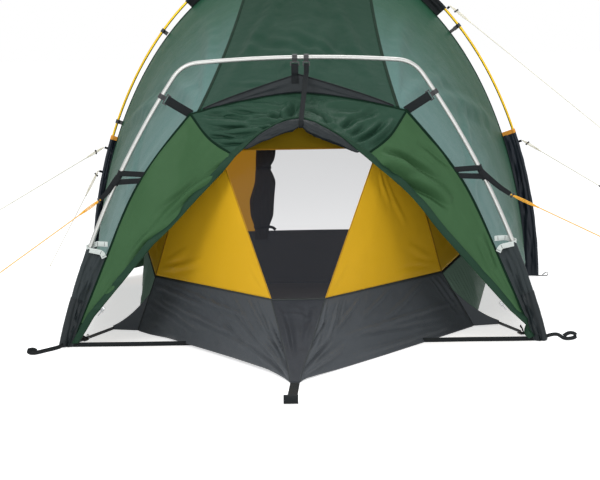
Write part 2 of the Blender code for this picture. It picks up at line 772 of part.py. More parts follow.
def hood(parent):
    """Two side panels and the gathered middle panel round the open hatch."""
    cols = 5
    seams = {}
    for side, word in ((-1, "left"), (1, "right")):
        corner = ridge_corner(side)
        foot = hatch_seam_foot(side)
        middle = (corner + foot) / 2 + vec(side * HOOD_SEAM_BOW[0], 0, HOOD_SEAM_BOW[1])
        seam = resample(smooth_line([corner, middle, foot]), cols)
        seams[side] = seam
        outer, inner = ridge_leg(side, 14), hatch_side(side, 14)
        grid = sheet(straight(outer[0], inner[0], cols), seam, outer, inner)
        cloth("hood_" + word, [grid], "hood_green", parent, [vec(side, -1, 0.6)])

    def gathers(u, v):
        wave = math.sin(v * math.pi * 9) + 0.5 * math.sin(v * math.pi * 17 + 1.3)
        return vec(0, -0.6, 0.8) * FOLD_DEPTH * wave * math.sin(math.pi * u) * math.sin(math.pi * v) ** 0.5

    rows = 25
    left, right = ridge_corner(-1), ridge_corner(1)
    grid = sheet(seams[-1], seams[1], ridge_top(left[0], right[0], rows), hatch_top(0, 1, rows), gathers)
    cloth("hood_centre", [grid], "hood_green", parent, [vec(0, -1, 1)])


def gusset_edge(x):
    """Height of the hanging gusset's upper edge, drawn up to the hooks in the middle."""
    corner = seam_start(1)
    share = 1 - abs(x) / corner[0]
    return corner[2] + CLOTH + SEWN + (GUSSET_TOP - corner[2]) * share ** 0.85


def ridge_gusset(parent):
    """Thin web that hangs the middle of the ridge from the foot hoop."""
    reach = seam_start(1)[0] - 0.012
    xs = np.linspace(-reach, reach, 17)
    half = WEBBING / 2
    rings = []
    for x in xs:
        low = ridge_height(x) + CLOTH + GAP + SEWN
        high = max(gusset_edge(x), low + 0.002)
        rings.append([vec(x, FOOT_Y - half, low), vec(x, FOOT_Y + half, low),
                      vec(x, FOOT_Y + half, high), vec(x, FOOT_Y - half, high)])
    web = place("ridge_gusset", mesh_of("ridge_gusset", [loft(rings)]), "black", parent)
    fuse(web, [gusset_strap()])


def roll_line(count):
    """Middle line of the rolled hatch, hung just under the hatch's edge."""
    edge = hatch_top(0, 1, 61)
    edge = edge[np.abs(edge[:, 0]) <= ROLL_HALF]
    return resample(edge, count) + vec(0, -0.002, -ROLL_RADIUS - CLOTH - SEWN - 0.003)


def rolled_hatch(parent):
    """The hatch cover, rolled up along the top of its opening."""
    path = roll_line(17)
    rings = []
    sides = 14
    across = vec(0, 1, 0)
    for i, (point, along) in enumerate(zip(path, tangents(path))):
        share = i / (len(path) - 1)
        radius = ROLL_RADIUS * (0.62 + 0.38 * math.sin(math.pi * share) ** 0.5)
        up = unit(np.cross(across, along))
        ring = []
        for k in range(sides):
            angle = 2 * math.pi * k / sides
            swell = 1 - 0.14 * (0.5 - 0.5 * math.cos(3 * angle + 4 * share))
            ring.append(point + radius * swell * (math.cos(angle) * up * 0.92 + math.sin(angle) * across))
        rings.append(ring)
    place("rolled_hatch", mesh_of("rolled_hatch", [loft(rings)]), "grey", parent)


def door_corner(side, top):
    """A corner of the doorway in the vestibule's sloping end."""
    if top:
        height = MAIN_HEIGHT - FLY_HANG_TOP - BROW_DROP
        return vec(side * DOOR_TOP_HALF, MAIN_Y + BROW_LENGTH, height)
    return vec(side * DOOR_FOOT_HALF, TAIL_Y, HEM_Z)


def vestibule(parent):
    """Two sides and a brow behind the main hoop, with the doorway left between them."""
    cols = 9
    for side, word in ((-1, "left"), (1, "right")):
        front = fly_arch(side, ARCH_ROWS)
        top, foot = door_corner(side, True), door_corner(side, False)
        back = straight(foot, top, ARCH_ROWS)
        share = np.linspace(0, 1, cols)
        hem = straight(front[0], back[0], cols)
        hem[:, 2] += HEM_RISE * 4 * share * (1 - share)
        upper = straight(front[-1], top, cols)
        grid = sheet(hem, upper, front, back)
        panel = cloth("vestibule_" + word, [grid], "fly_teal", parent, [vec(side, 0.6, 0.3)])
        fuse(panel, [tail_loop(side)])
    rows = 9
    front = fly_top_arch(rows)
    top = {side: door_corner(side, True) for side in (-1, 1)}
    back = straight(top[-1], top[1], rows)
    back[:, 2] += 0.014 * np.sin(np.linspace(0, math.pi, rows))
    grid = sheet(straight(front[0], top[-1], 5), straight(front[-1], top[1], 5), front, back)
    cloth("vestibule_brow", [grid], "fly_green", parent, [vec(0, 0.6, 1)])


def tail_loop(side):
    """Peg loop sewn to the foot of the doorway's edge."""
    foot, top = door_corner(side, False), door_corner(side, True)
    along = unit(top - foot)
    hem = unit(fly_arch(side, 2)[0] - foot)
    out = unit(np.cross(hem, along))
    if out[1] < 0:
        out = -out
    aim = vec(0, 1, 0)
    sewn = foot + along * 0.020 + hem * 0.012 + out * CLOTH / 2
    edge = foot + hem * 0.012 + out * CLOTH / 2 - along * 0.002
    ground = vec(edge[0], edge[1] + 0.012, GAP)
    reach = TAIL_Y + LOOP_REACH - ground[1] - TAIL_LOOP_RADIUS - WEBBING / 2
    path = teardrop(ground, aim, vec(0, 0, 1), reach, 0.012, TAIL_LOOP_RADIUS)
    return ribbon(np.vstack([sewn, edge, path]), BASE_WEBBING, vec(1, 0, 0))


def vestibule_door(parent):
    """The vestibule's door, rolled up and tied along the left edge of the doorway."""
    foot, top = door_corner(-1, False), door_corner(-1, True)
    along = unit(top - foot)
    inward = unit(vec(1, 0, 0) - along * along[0])
    out = np.cross(inward, along)
    if out[1] < 0:
        out = -out
    length = np.linalg.norm(top - foot)
    sides = 12
    rings = []
    for share in np.linspace(0, 1, 17):
        tied = sum(math.exp(-((share - knot) / 0.045) ** 2) for knot in DOOR_TIES)
        radius = VESTIBULE_ROLL_RADIUS * (1 - DOOR_TIE_NIP * tied - DOOR_END_NIP * abs(2 * share - 1) ** 3)
        angles = [2 * math.pi * k / sides for k in range(sides)]
        reaches = [radius * (0.95 + 0.05 * math.cos(2 * angle + 5 * share)) for angle in angles]
        centre = foot + along * (0.03 + share * (length - 0.07))
        centre = centre + inward * (reaches[sides // 2] + SEWN)
        rings.append([centre + reach * (math.cos(angle) * inward + math.sin(angle) * out)
                      for reach, angle in zip(reaches, angles)])
    place("vestibule_door_roll", mesh_of("vestibule_door_roll", [loft(rings)]), "fly_green", parent)


# Inner tent

def inner_head(side, count, first_z=RIM_Z, last_x=INNER_SEAM_X):
    """The inner tent's line in the plane of its head wall."""
    low = math.asin(first_z / INNER_HEAD_HEIGHT)
    angles = np.linspace(low, math.acos(last_x / INNER_HEAD_HALF), 50)
    points = [(side * INNER_HEAD_HALF * math.cos(a), HEAD_Y, INNER_HEAD_HEIGHT * math.sin(a)) for a in angles]
    return resample(points, count)


def rim_corner(side):
    return vec(side * (FLOOR_CORNER_X - RIM_LEAN - 0.015), FOOT_Y + FLOOR_CORNER_Y - 0.008, RIM_Z)


def rim_gusset(side):
    return vec(side * GUSSET_TOP_HALF, FOOT_Y - GUSSET_TOP_REACH, RIM_Z)


def inner_corner(side):
    return vec(side * INNER_CORNER_X, FOOT_Y + INNER_CORNER_Y, INNER_CORNER_Z)


def inner_top_edge(count):
    """Front edge of the inner roof, between its two corners."""
    left, right = inner_corner(-1), inner_corner(1)
    middle = vec(0, FOOT_Y + INNER_CORNER_Y - 0.012, INNER_TOP_Z)
    return resample(smooth_line([left, middle, right]), count)


def mesh_corner(side):
    """Upper corner of the mesh panel, on the line where the shade-cloth starts."""
    share = (MESH_TOP_Z - RIM_Z) / (INNER_CORNER_Z - RIM_Z)
    outer = rim_corner(side) * (1 - share) + inner_corner(side) * share
    back = FOOT_Y - GUSSET_TOP_REACH + (MESH_TOP_Z - RIM_Z) * INNER_FRONT_SLOPE
    return vec(outer[0] - side * (MESH_MARGIN + 0.04), back, MESH_TOP_Z)


def inner_tent(parent):
    """Roof, sides, front panels with the mesh, and head wall round the doorway."""
    rows, cols = 8, 9
    for side, word in ((-1, "left"), (1, "right")):
        rim, corner = rim_corner(side), inner_corner(side)
        bow = (rim + corner) / 2 + vec(side * 0.012, 0, 0)
        edge = resample(smooth_line([rim, bow, corner]), rows)
        back = inner_head(side, rows)
        seam = straight(corner, back[-1], cols)
        grid = sheet(straight(rim, back[0], cols), seam, edge, back)
        panel = cloth("inner_side_" + word, [grid], "yellow", parent, [vec(side, 0, 0.3)])
        above = fly_side_grid(side)
        ties = [hanger(grid[-2, 1], ridge_corner(side) - corner, above)]
        ties.append(hanger(grid[5, -2], vec(side, 0, 0.35), above))
        fuse(panel, ties, "yellow")
        low, high = rim_gusset(side), mesh_corner(side)
        grid = sheet(straight(rim, low, 7), straight(corner, high, 7), edge, straight(low, high, rows))
        cloth("inner_front_" + word, [grid], "yellow", parent, [vec(side, -1, 0.6)])
    low = {side: rim_gusset(side) for side in (-1, 1)}
    high = {side: mesh_corner(side) for side in (-1, 1)}
    grid = sheet(straight(low[-1], high[-1], rows), straight(low[1], high[1], rows),
                 straight(low[-1], low[1], 5), straight(high[-1], high[1], 5))
    cloth("inner_front_mesh", [grid], "mesh", parent, [vec(0, -1, 0.6)])
    top = inner_top_edge(9)
    grid = sheet(straight(mesh_corner(-1), top[0], 4), straight(mesh_corner(1), top[-1], 4),
                 straight(mesh_corner(-1), mesh_corner(1), 9), top)
    cloth("inner_front_top", [grid], "yellow", parent, [vec(0, -1, 0.6)])

    left, right = inner_head(-1, 2)[-1], inner_head(1, 2)[-1]
    arch = np.vstack([inner_head(-1, 30, first_z=left[2], last_x=0.001),
                      inner_head(1, 30, first_z=right[2], last_x=0.001)[::-1]])
    grid = sheet(straight(inner_corner(-1), left, cols), straight(inner_corner(1), right, cols),
                 top, resample(arch, 9))
    roof = cloth("inner_roof", [grid], "yellow", parent, [vec(0, 0, 1)])
    above = fly_roof_grid()
    fuse(roof, [hanger(grid[4, k], vec(0, 0, 1), above) for k in (1, -2)], "yellow")
    head_wall(parent)


def hanger(start, towards, above):
    """Elastic from a panel of the inner tent up to just under the fly."""
    aim = unit(towards)
    faces = []
    cols = above.shape[1]
    for j in range(above.shape[0] - 1):
        for i in range(cols - 1):
            first = j * cols + i
            faces.append((first, first + 1, first + cols + 1, first + cols))
    fly_side = BVHTree.FromPolygons([tuple(p) for p in above.reshape(-1, 3)], faces)
    hit, normal, face, distance = fly_side.ray_cast(tuple(start), tuple(aim))
    tilt = math.sqrt(1 - float(np.dot(np.array(normal), aim)) ** 2)
    end = np.array(hit) - aim * (SEWN + tilt * HANGER_WIDTH)
    return ribbon(straight(start - aim * CLOTH * 0.4, end, 4), HANGER_WIDTH, np.cross(aim, vec(0, 1, 0.01)))


def head_wall(parent):
    """Head wall round the doorway, from the rim over the top and back down to the rim."""
    y = HEAD_Y + SEWN
    rows = 29
    sides = {s: inner_head(s, 40, last_x=0.001) for s in (-1, 1)}
    outer = resample(np.vstack([sides[-1], sides[1][::-1]]), rows)
    outer[:, 1] = y
    bend = DOORWAY_BEND
    left, right = DOORWAY_LEFT, DOORWAY_RIGHT
    up, height = vec(0, 0, 1), DOORWAY_TOP - bend
    turn_l = round_turn(vec(left + bend, y, height), vec(-1, 0, 0), up, bend, 0, math.pi / 2, 6)
    turn_r = round_turn(vec(right - bend, y, height), vec(1, 0, 0), up, bend, math.pi / 2, 0, 6)
    inner = np.vstack([vec(left, y, RIM_Z), turn_l, turn_r, vec(right, y, RIM_Z)])
    inner = resample(inner, rows)
    grid = sheet(straight(outer[0], inner[0], 4), straight(outer[-1], inner[-1], 4), outer, inner)
    cloth("head_wall", [grid], "yellow", parent, [vec(0, 1, 0)])


def inner_door(parent):
    """The inner door, gathered and tied up at the left of the doorway."""
    top = DOORWAY_TOP - 0.03
    heights = np.linspace(top, top - DOOR_ROLL_LENGTH, 13)
    sides = 16
    rings = []
    centre_y = HEAD_Y - 0.8 * DOOR_ROLL_RADIUS
    for i, z in enumerate(heights):
        share = i / (len(heights) - 1)
        waist = 1 - 0.32 * math.exp(-((share - 0.45) / 0.10) ** 2) - 0.25 * share ** 6
        x = DOORWAY_LEFT + DOOR_ROLL_SWAY * math.sin(3 * share)
        ring = []
        for k in range(sides):
            angle = 2 * math.pi * k / sides
            pleat = 1 - 0.13 * (k % 2)
            radius = DOOR_ROLL_RADIUS * waist * pleat
            ring.append(vec(x + radius * math.cos(angle), centre_y + 0.8 * radius * math.sin(angle), z))
        rings.append(ring)
    place("inner_door_roll", mesh_of("inner_door_roll", [loft(rings)]), "floor", parent)


def floor_outline():
    """Corners of the groundsheet and of its rim, right side first, as matched pairs."""
    pairs = []
    for side in (1, -1):
        order = [
            (vec(side * TIP_HALF, FOOT_Y - TIP_REACH, FLOOR_Z), rim_gusset(side)),
            (vec(side * FLOOR_CORNER_X, FOOT_Y + FLOOR_CORNER_Y, FLOOR_Z), rim_corner(side)),
            (vec(side * FLOOR_HEAD_HALF, HEAD_Y, FLOOR_Z), inner_head(side, 2)[0]),
        ]
        pairs.append(order if side == 1 else order[::-1])
    return pairs[0] + pairs[1]


def bathtub(parent):
    """Groundsheet with its raised walls, drawn to a point at the foot."""
    corners = floor_outline()
    counts = [8, 9, 6, 9, 8, 2]
    low, high = [], []
    for i, count in enumerate(counts):
        nxt = (i + 1) % len(corners)
        for share in np.linspace(0, 1, count, endpoint=False):
            dip = 0.006 * 4 * share * (1 - share) if count > 2 else 0.0
            low.append(corners[i][0] * (1 - share) + corners[nxt][0] * share)
            rim = corners[i][1] * (1 - share) + corners[nxt][1] * share
            high.append(rim - vec(0, 0, dip + SEAM))
    middle = [(a + b) / 2 for a, b in zip(low, high)]
    made = bmesh.new()
    rings = [[made.verts.new(p) for p in ring] for ring in (low, middle, high)]
    count = len(low)
    for a, b in zip(rings, rings[1:]):
        for j in range(count):
            k = (j + 1) % count
            made.faces.new((a[j], a[k], b[k], b[j]))
    made.faces.new(rings[0][::-1])
    mesh = bpy.data.meshes.new("bathtub_floor")
    made.to_mesh(mesh)
    made.free()
    tray = place("bathtub_floor", mesh, "floor", parent)
    shell = tray.modifiers.new("thickness", "SOLIDIFY")
    shell.thickness = FLOOR_THICK
    shell.offset = -1.0
    fuse(tray, [floor_wing(side) for side in (-1, 1)], "floor")


def floor_wing(side):
    """Small web that pulls a front corner of the groundsheet out."""
    base = vec(side * FLOOR_CORNER_X, FOOT_Y + FLOOR_CORNER_Y, FLOOR_Z)
    share = WING_TOP_Z / RIM_Z
    top = base * (1 - share) + rim_corner(side) * share
    sunk = vec(-side * 0.003, 0.004, 0)
    point = vec(side * WING_X, FOOT_Y + WING_Y, 0.004)
    half = vec(0, WEBBING / 2, 0)
    face = [base + sunk + vec(0, 0, 0.003), point, point + vec(0, 0, 0.012), top + sunk]
    return loft([[p - half for p in face], [p + half for p in face]])


# Hooks, straps and small fittings

def hook_mesh(name, pole_radius, webbing):
    """A snap hook for a pole along X, with the slotted plate that webbing loops through below."""
    inner = pole_radius + GAP
    outer = inner + HOOK_WALL
    pairs = []
    for angle in np.linspace(math.radians(300), math.radians(65), 13):
        away = (-math.sin(angle), -math.cos(angle))
        pairs.append(((away[0] * inner, away[1] * inner), (away[0] * outer, away[1] * outer)))
    arc = len(pairs)
    front = -outer + 0.004
    for z in hook_levels(pole_radius):
        pairs.append(((front + HOOK_PLATE, z), (front, z)))
    half = webbing / 2
    slot, edge = half + SEWN, half + HOOK_BAR
    stations = (-edge, -slot, -HOOK_WIDTH / 2, HOOK_WIDTH / 2, slot, edge)
    if webbing < HOOK_WIDTH:
        stations = (-edge, -slot, slot, edge)
    last = len(stations) - 2

    def present(i, k):
        if i < arc:
            return webbing < HOOK_WIDTH or k == 2
        if i == arc + 1:
            return k in (0, last)
        return True

    return mesh_of(name, [lattice(pairs, stations, present)])


def hook_levels(pole_radius):
    """Heights of the hook plate's top, slot top, slot foot and lower end, below the pole centre."""
    top = -(pole_radius + GAP + HOOK_WALL) - HOOK_NECK
    slot_top = top - HOOK_BAR
    slot_foot = slot_top - 2 * HOOK_SWING_GAP - WEBBING
    return top, slot_top, slot_foot, slot_foot - HOOK_BAR


def hook_plate_y(pole_radius):
    """Middle of the hook's plate, in front of the pole."""
    return -(pole_radius + GAP + HOOK_WALL) + 0.004 + HOOK_PLATE / 2


def hook_loop(pole_radius, tail):
    """Path of the webbing round the hook's lower bar, in the hook's own Y and Z."""
    levels = hook_levels(pole_radius)
    y = hook_plate_y(pole_radius)
    top = levels[1] - HOOK_SWING_GAP - WEBBING / 2
    gap = HOOK_PLATE / 2 + HOOK_SWING_GAP + WEBBING / 2
    drop = top - gap
    centre = vec(0, y, drop)
    turn = round_turn(centre, vec(0, -1, 0), vec(0, 0, 1), gap, 0.0, math.pi, 9)
    front = vec(0, y - gap, -tail)
    back_end = vec(0, y + gap, levels[3] - 0.012)
    return np.vstack([front, vec(0, y - gap, (drop - tail) / 2), turn, back_end])


def foot_hoop_at(height, side):
    point, along = at_height(pole_leg(foot_hoop()), height)
    return point * vec(side, 1, 1), along * vec(side, 1, 1)


def hooks(parent):
    """Two hooks on top of the foot hoop and one at each of its corners, with their webbing."""
    for sign, word, webbing in ((-1, "left", TOP_WEBBING), (1, "right", ROLL_STRAP_WIDTH)):
        spot = top_hook_spot(sign)
        name = "top_hook_" + word
        matrix = hook_frame(spot, vec(1, 0, 0), vec(0, 0, 1))
        place(name, hook_mesh(name, FOOT_POLE_RADIUS, webbing), "black", parent, matrix)
        if sign == 1:
            roll_strap(spot, webbing, parent)
    for side, word in ((-1, "left"), (1, "right")):
        spot, along = foot_hoop_at(CORNER_Z, side)
        corner = ridge_corner(side)
        down = unit(corner - spot)
        name = "corner_hook_" + word
        matrix = hook_frame(spot, -along * side, -down)
        place(name, hook_mesh(name, FOOT_POLE_RADIUS, WIDE_WEBBING), "black", parent, matrix)
        reach = np.linalg.norm(corner - spot) - 0.012
        local = hook_loop(FOOT_POLE_RADIUS, reach)
        turn = np.array(matrix)
        path = np.array([(turn @ np.append(p, 1.0))[:3] for p in local])
        name = "corner_webbing_" + word
        place(name, mesh_of(name, [ribbon(path, WIDE_WEBBING, turn[:3, 0])]), "black", parent)


def top_hook_spot(sign):
    """Where a top hook sits on the foot hoop, left or right of the middle."""
    x = HOOK_PAIR_X + sign * HOOK_PAIR_STEP / 2
    line = pole_line(foot_hoop())
    return vec(x, FOOT_Y, float(np.interp(x, line[:, 0], line[:, 2])))


def gusset_strap():
    """Strap from the left top hook down onto the gusset."""
    spot = top_hook_spot(-1)
    path = hook_loop(FOOT_POLE_RADIUS, spot[2] - GUSSET_TOP - 0.004) + spot
    sewn = vec(path[0][0], FOOT_Y - 0.7 * WEBBING, GUSSET_TOP - 0.004)
    return ribbon(np.vstack([sewn - vec(0, 0, 0.022), sewn, path]), TOP_WEBBING, vec(1, 0, 0))


def roll_strap(spot, webbing, parent):
    """Strap from the right top hook down over the hood to hold the rolled hatch."""
    path = hook_loop(FOOT_POLE_RADIUS, 0.040) + spot
    line = roll_line(61)
    roll = line[int(np.argmin(np.abs(line[:, 0] - spot[0] + 0.008)))]
    radius = ROLL_RADIUS + ROLL_STRAP_SLACK + WEBBING / 2
    x = vec(roll[0], 0, 0)
    centre = vec(0, roll[1], roll[2])
    turn = round_turn(centre, vec(0, -1, 0), vec(0, 0, -1), radius, math.radians(-20), math.radians(150), 9)
    path = np.vstack([(turn + x)[::-1], path])
    body = ribbon(path, webbing, vec(1, 0, 0))
    place("roll_strap", mesh_of("roll_strap", [body]), "black", parent)


def band_loop(side, height, width):
    """Webbing from the ridge round the foot hoop's leg and back to the ridge."""
    spot, along = foot_hoop_at(height, side)
    edge = ridge_leg(side, 200)
    inner = unit(vec(-side * abs(along[2]), 0, -abs(along[0])))
    reach = reach_to([spot], [inner], edge)[0] - 0.001
    radius = FOOT_POLE_RADIUS + GAP + WEBBING / 2
    y = vec(0, 1, 0)
    turn = round_turn(spot, y, -inner, radius, 0.0, math.pi, 9)
    near = spot + inner * reach
    path = np.vstack([near + y * (WEBBING / 2 + GAP), turn, near - y * (WEBBING / 2 + GAP)])
    return ribbon(path, width, along)


def mid_bands(parent):
    """Double band on each leg of the foot hoop, with the tapered tab that holds a guyline."""
    for side, word in ((-1, "left"), (1, "right")):
        name = "mid_band_" + word
        upper, lower = (band_loop(side, height, BAND_WIDTH) for height in BAND_Z)
        band = place(name, mesh_of(name, [upper]), "black", parent)
        fuse(band, [guy_tab(side), lower])


def guy_tab(side):
    """Tapered tab from both bands out to the place where a guyline is tied."""
    spot, along = foot_hoop_at(sum(BAND_Z) / 2, side)
    out = unit(vec(side * abs(along[2]), 0, abs(along[0])))
    ring = guy_ring(side)
    aim = unit(ring - spot)
    start = spot + out * (FOOT_POLE_RADIUS + GAP + 0.3 * WEBBING)
    wide = along * (BAND_Z[0] - BAND_Z[1] + BAND_WIDTH) * 0.48
    narrow = vec(-aim[2], 0, aim[0]) * 0.003
    if np.dot(narrow, along) < 0:
        narrow = -narrow
    thick = vec(0, WEBBING / 2, 0)
    rings = []
    for t in np.linspace(0, 1, 5):
        middle = start * (1 - t) + ring * t
        half = wide * (1 - t) ** 1.4 + narrow * t ** 0.6
        front, back = middle + thick, middle - thick
        rings.append([front + half, front - half, back - half, back + half])
    return loft(rings)


def guy_ring(side):
    """Outer end of a foot guyline's tab."""
    spot = foot_hoop_at(sum(BAND_Z) / 2, side)[0]
    out, down = BAND_RING[side]
    return spot + vec(side * out, 0, -down)


def reflective_tabs(parent):
    for side, word in ((-1, "left"), (1, "right")):
        name = "reflective_tab_" + word
        place(name, mesh_of(name, [band_loop(side, TAB_Z, TAB_WIDTH)]), "tape", parent)


def main_clips(parent):
    """Clips that hang the fly from the main pole, with webbing where the fly hangs lower."""
    hoop = pole_leg(main_hoop())
    inner_r = MAIN_POLE_RADIUS + GAP
    outer_r = inner_r + CLIP_WALL
    for name, side, height in MAIN_CLIPS:
        spot, along = at_height(hoop, height)
        spot, along = spot * vec(side, 1, 1), along * vec(side, 1, 1)
        inner = unit(vec(-side * abs(along[2]), 0, -abs(along[0])))
        reach = reach_to([spot], [inner], fly_arch(side, 400))[0]
        neck = min(reach, CLIP_NECK)
        pairs = []
        for angle in np.linspace(math.radians(310), math.radians(50), 12):
            away = (-math.sin(angle), -math.cos(angle))
            pairs.append(((away[0] * inner_r, away[1] * inner_r), (away[0] * outer_r, away[1] * outer_r)))
        pairs += [((-0.001, z), (-0.001 - CLIP_WALL, z)) for z in (-outer_r - 0.001, -neck)]
        frame = hook_frame(spot, -along * side, -inner)
        half = CLIP_WIDTH / 2
        mesh = mesh_of(name, [lattice(pairs, (-half, half), lambda i, k: True)])
        clip = place(name, mesh, "black", parent, frame)
        if reach > neck + 0.004:
            low = spot + inner * (neck - 0.004) + vec(0, -0.001 - CLIP_WALL, 0)
            high = spot + inner * reach + vec(0, -0.001 - CLIP_WALL, 0)
            fuse(clip, [ribbon(straight(low, high, 3), CLIP_WIDTH * 0.8, along)])


def teardrop(start, direction, up, length, tail, radius):
    """Strap path along the ground that turns back over itself in a loop."""
    centre = start + direction * length + up * (radius + WEBBING / 2)
    turn = round_turn(centre, -up, direction, radius, math.radians(0), math.radians(200), 11)
    back = start + direction * (length - tail) + up * (WEBBING * 1.5 + SEWN)
    return np.vstack([start + up * WEBBING / 2, start + direction * (length - tail) + up * WEBBING / 2,
                      turn, back])


def peg_loop(start, aim, length, tail, radius, width=None):
    """Webbing loop for a peg, flat on the ground from a start."""
    path = teardrop(start, aim, vec(0, 0, 1), length, tail, radius)
    return ribbon(path, width or BASE_WEBBING, np.cross(aim, vec(0, 0, 1)))


def ground_straps(parent):
    """Prow strap and the strap between the feet of the foot hoop."""
    start = vec(0, FOOT_Y - TIP_REACH - SEWN, 0)
    radius = PROW_LOOP_REACH / 3.2
    length = PROW_STRAP_LENGTH + PROW_LOOP_REACH - radius - SEWN - WEBBING / 2
    strap = peg_loop(start, vec(0, -1, 0), length, PROW_LOOP_REACH, radius, WIDE_WEBBING)
    place("prow_strap", mesh_of("prow_strap", [strap]), "black", parent)
    reach = FOOT_HALF - (FOOT_POLE_RADIUS + SLEEVE_WALL + GAP + SEWN) - BASE_STRAP_MARGIN
    path = straight(vec(-reach, FOOT_Y, WEBBING / 2), vec(reach, FOOT_Y, WEBBING / 2), 9)
    place("base_strap", mesh_of("base_strap", [ribbon(path, BASE_WEBBING, vec(0, 1, 0))]), "black", parent)


def corner_line(side):
    """Ends of the strap from a wing of the groundsheet to the foot of the foot hoop."""
    wing = vec(side * WING_X, FOOT_Y + WING_Y, 0.007)
    foot = vec(side * (FOOT_HALF - CORNER_STRAP_INSET), FOOT_Y + 0.004, 0.005)
    return wing, foot, unit(foot - wing)


def buckle_centre(side):
    wing, foot, aim = corner_line(side)
    return foot - aim * BUCKLE_FROM_FOOT


def buckle_stub(side):
    """Webbing sewn to the foot, that holds one bar of the ladder lock."""
    wing, foot, aim = corner_line(side)
    start = buckle_centre(side) + aim * (BUCKLE_LENGTH / 2 + SEWN)
    return ribbon(straight(start, foot + aim * 0.008, 3), BASE_WEBBING, vec(aim[1], -aim[0], 0))


def corner_straps(parent):
    """Straps from the wings of the groundsheet to the feet, one with a ladder lock."""
    for side, word in ((-1, "left"), (1, "right")):
        wing, foot, aim = corner_line(side)
        end = foot - aim * 0.002
        if side == 1:
            end = buckle_centre(side) - aim * (BUCKLE_LENGTH / 2 + SEWN)
        name = "corner_strap_" + word
        path = straight(wing + aim * (WEBBING / 2 + SEWN), end, 5)
        body = ribbon(path, BASE_WEBBING, vec(aim[1], -aim[0], 0))
        place(name, mesh_of(name, [body]), "black", parent)
    half = BUCKLE_LENGTH / 2
    bars = (-half, -half + 0.005, -0.003, 0.003, half - 0.005, half)
    pairs = [((-0.0015, z), (0.0015, z)) for z in bars]
    wide = BUCKLE_WIDTH / 2
    stations = (-wide, -wide + 0.0045, wide - 0.0045, wide)
    mesh = mesh_of("ladder_lock", [lattice(pairs, stations, lambda i, k: not (i in (1, 3) and k == 1))])
    aim = corner_line(1)[2]
    place("ladder_lock", mesh, "black", parent, hook_frame(buckle_centre(1), vec(aim[1], -aim[0], 0), aim))


def slider_mesh(name):
    """A zip slider with its pull, along Z, with its back at Y = 0."""
    half = SLIDER_LENGTH / 2
    plate = [((0.0, z), (-depth, z)) for z, depth in
             ((-half - SLIDER_PULL, 0.0012), (-half - 0.001, 0.0012), (-half, 0.0028), (-half / 2, 0.0042),
              (half / 2, 0.0042), (half, 0.0028))]
    stations = (-SLIDER_WIDTH / 2, -0.002, 0.002, SLIDER_WIDTH / 2)
    return mesh_of(name, [lattice(plate, stations, lambda i, k: i > 0 or k == 1)])


def zip_slider(name, low, high, on_panel, height, parent):
    """A slider on the edge of a panel, which runs from low to high, a height up from low."""
    along = unit(high - low)
    inward = on_panel - (low + high) / 2
    inward = unit(inward - along * np.dot(inward, along))
    out = np.cross(along, inward)
    if np.dot(out, low - vec(low[0], MAIN_Y if low[1] > 0 else FOOT_Y, low[2])) < 0:
        out = -out
    spot = low + along * height - inward * (SLIDER_WIDTH / 2 + GAP) - out * CLOTH / 2
    place(name, slider_mesh(name), "silver", parent, hook_frame(spot, np.cross(-out, along), along))


def zip_sliders(parent):
    """Sliders at the feet of the hatch and of the vestibule door."""
    for side, word in ((-1, "left"), (1, "right")):
        low, high = hatch_zip(side)
        zip_slider("hatch_slider_" + word, low, high, ridge_leg(side, 14)[5], HATCH_SLIDER_Z, parent)
    foot, top = door_corner(1, False), door_corner(1, True)
    zip_slider("door_slider", foot, top, fly_arch(1, ARCH_ROWS)[4], DOOR_SLIDER_Z, parent)


# Guylines, each a straight taut run that swells at its knots

# Colour, far end from the foot hoop's middle on the ground, and distances of its knots from the tent
GUYLINES = {
    "guyline_main_left": ("pale_cord", (-1.103, 1.20, 0.274), (0.045, 0.085)),
    "guyline_rear_left": ("pale_cord", (-1.023, 2.088, 0.004), (0.030, 0.170)),
    "guyline_foot_left": ("orange_cord", (-0.862, -0.26, 0.223), (0.080,)),
    "guyline_top_right": ("pale_cord", (1.050, 1.45, 0.494), (0.030, 0.090)),
    "guyline_main_right": ("pale_cord", (1.021, 1.20, 0.320), (0.030, 0.100)),
    "guyline_foot_right": ("orange_cord", (0.863, -0.26, 0.3075), (0.105,)),
}


def guyline_ends(name):
    """Centre of a guyline at its tab, and at its far end."""
    end = vec(*GUYLINES[name][1]) + vec(0, FOOT_Y, 0)
    if name in SLEEVE_TABS:
        start, tie, out = tab_ends(*SLEEVE_TABS[name])
    else:
        side = 1 if end[0] > 0 else -1
        tie = guy_ring(side)
        out = unit(tie - foot_hoop_at(sum(BAND_Z) / 2, side)[0])
    away = unit(end - tie)
    lean = math.sqrt(1 - float(np.dot(away, out)) ** 2)
    return tie + out * (SEWN + KNOT_SWELL * CORD_RADIUS * lean), end


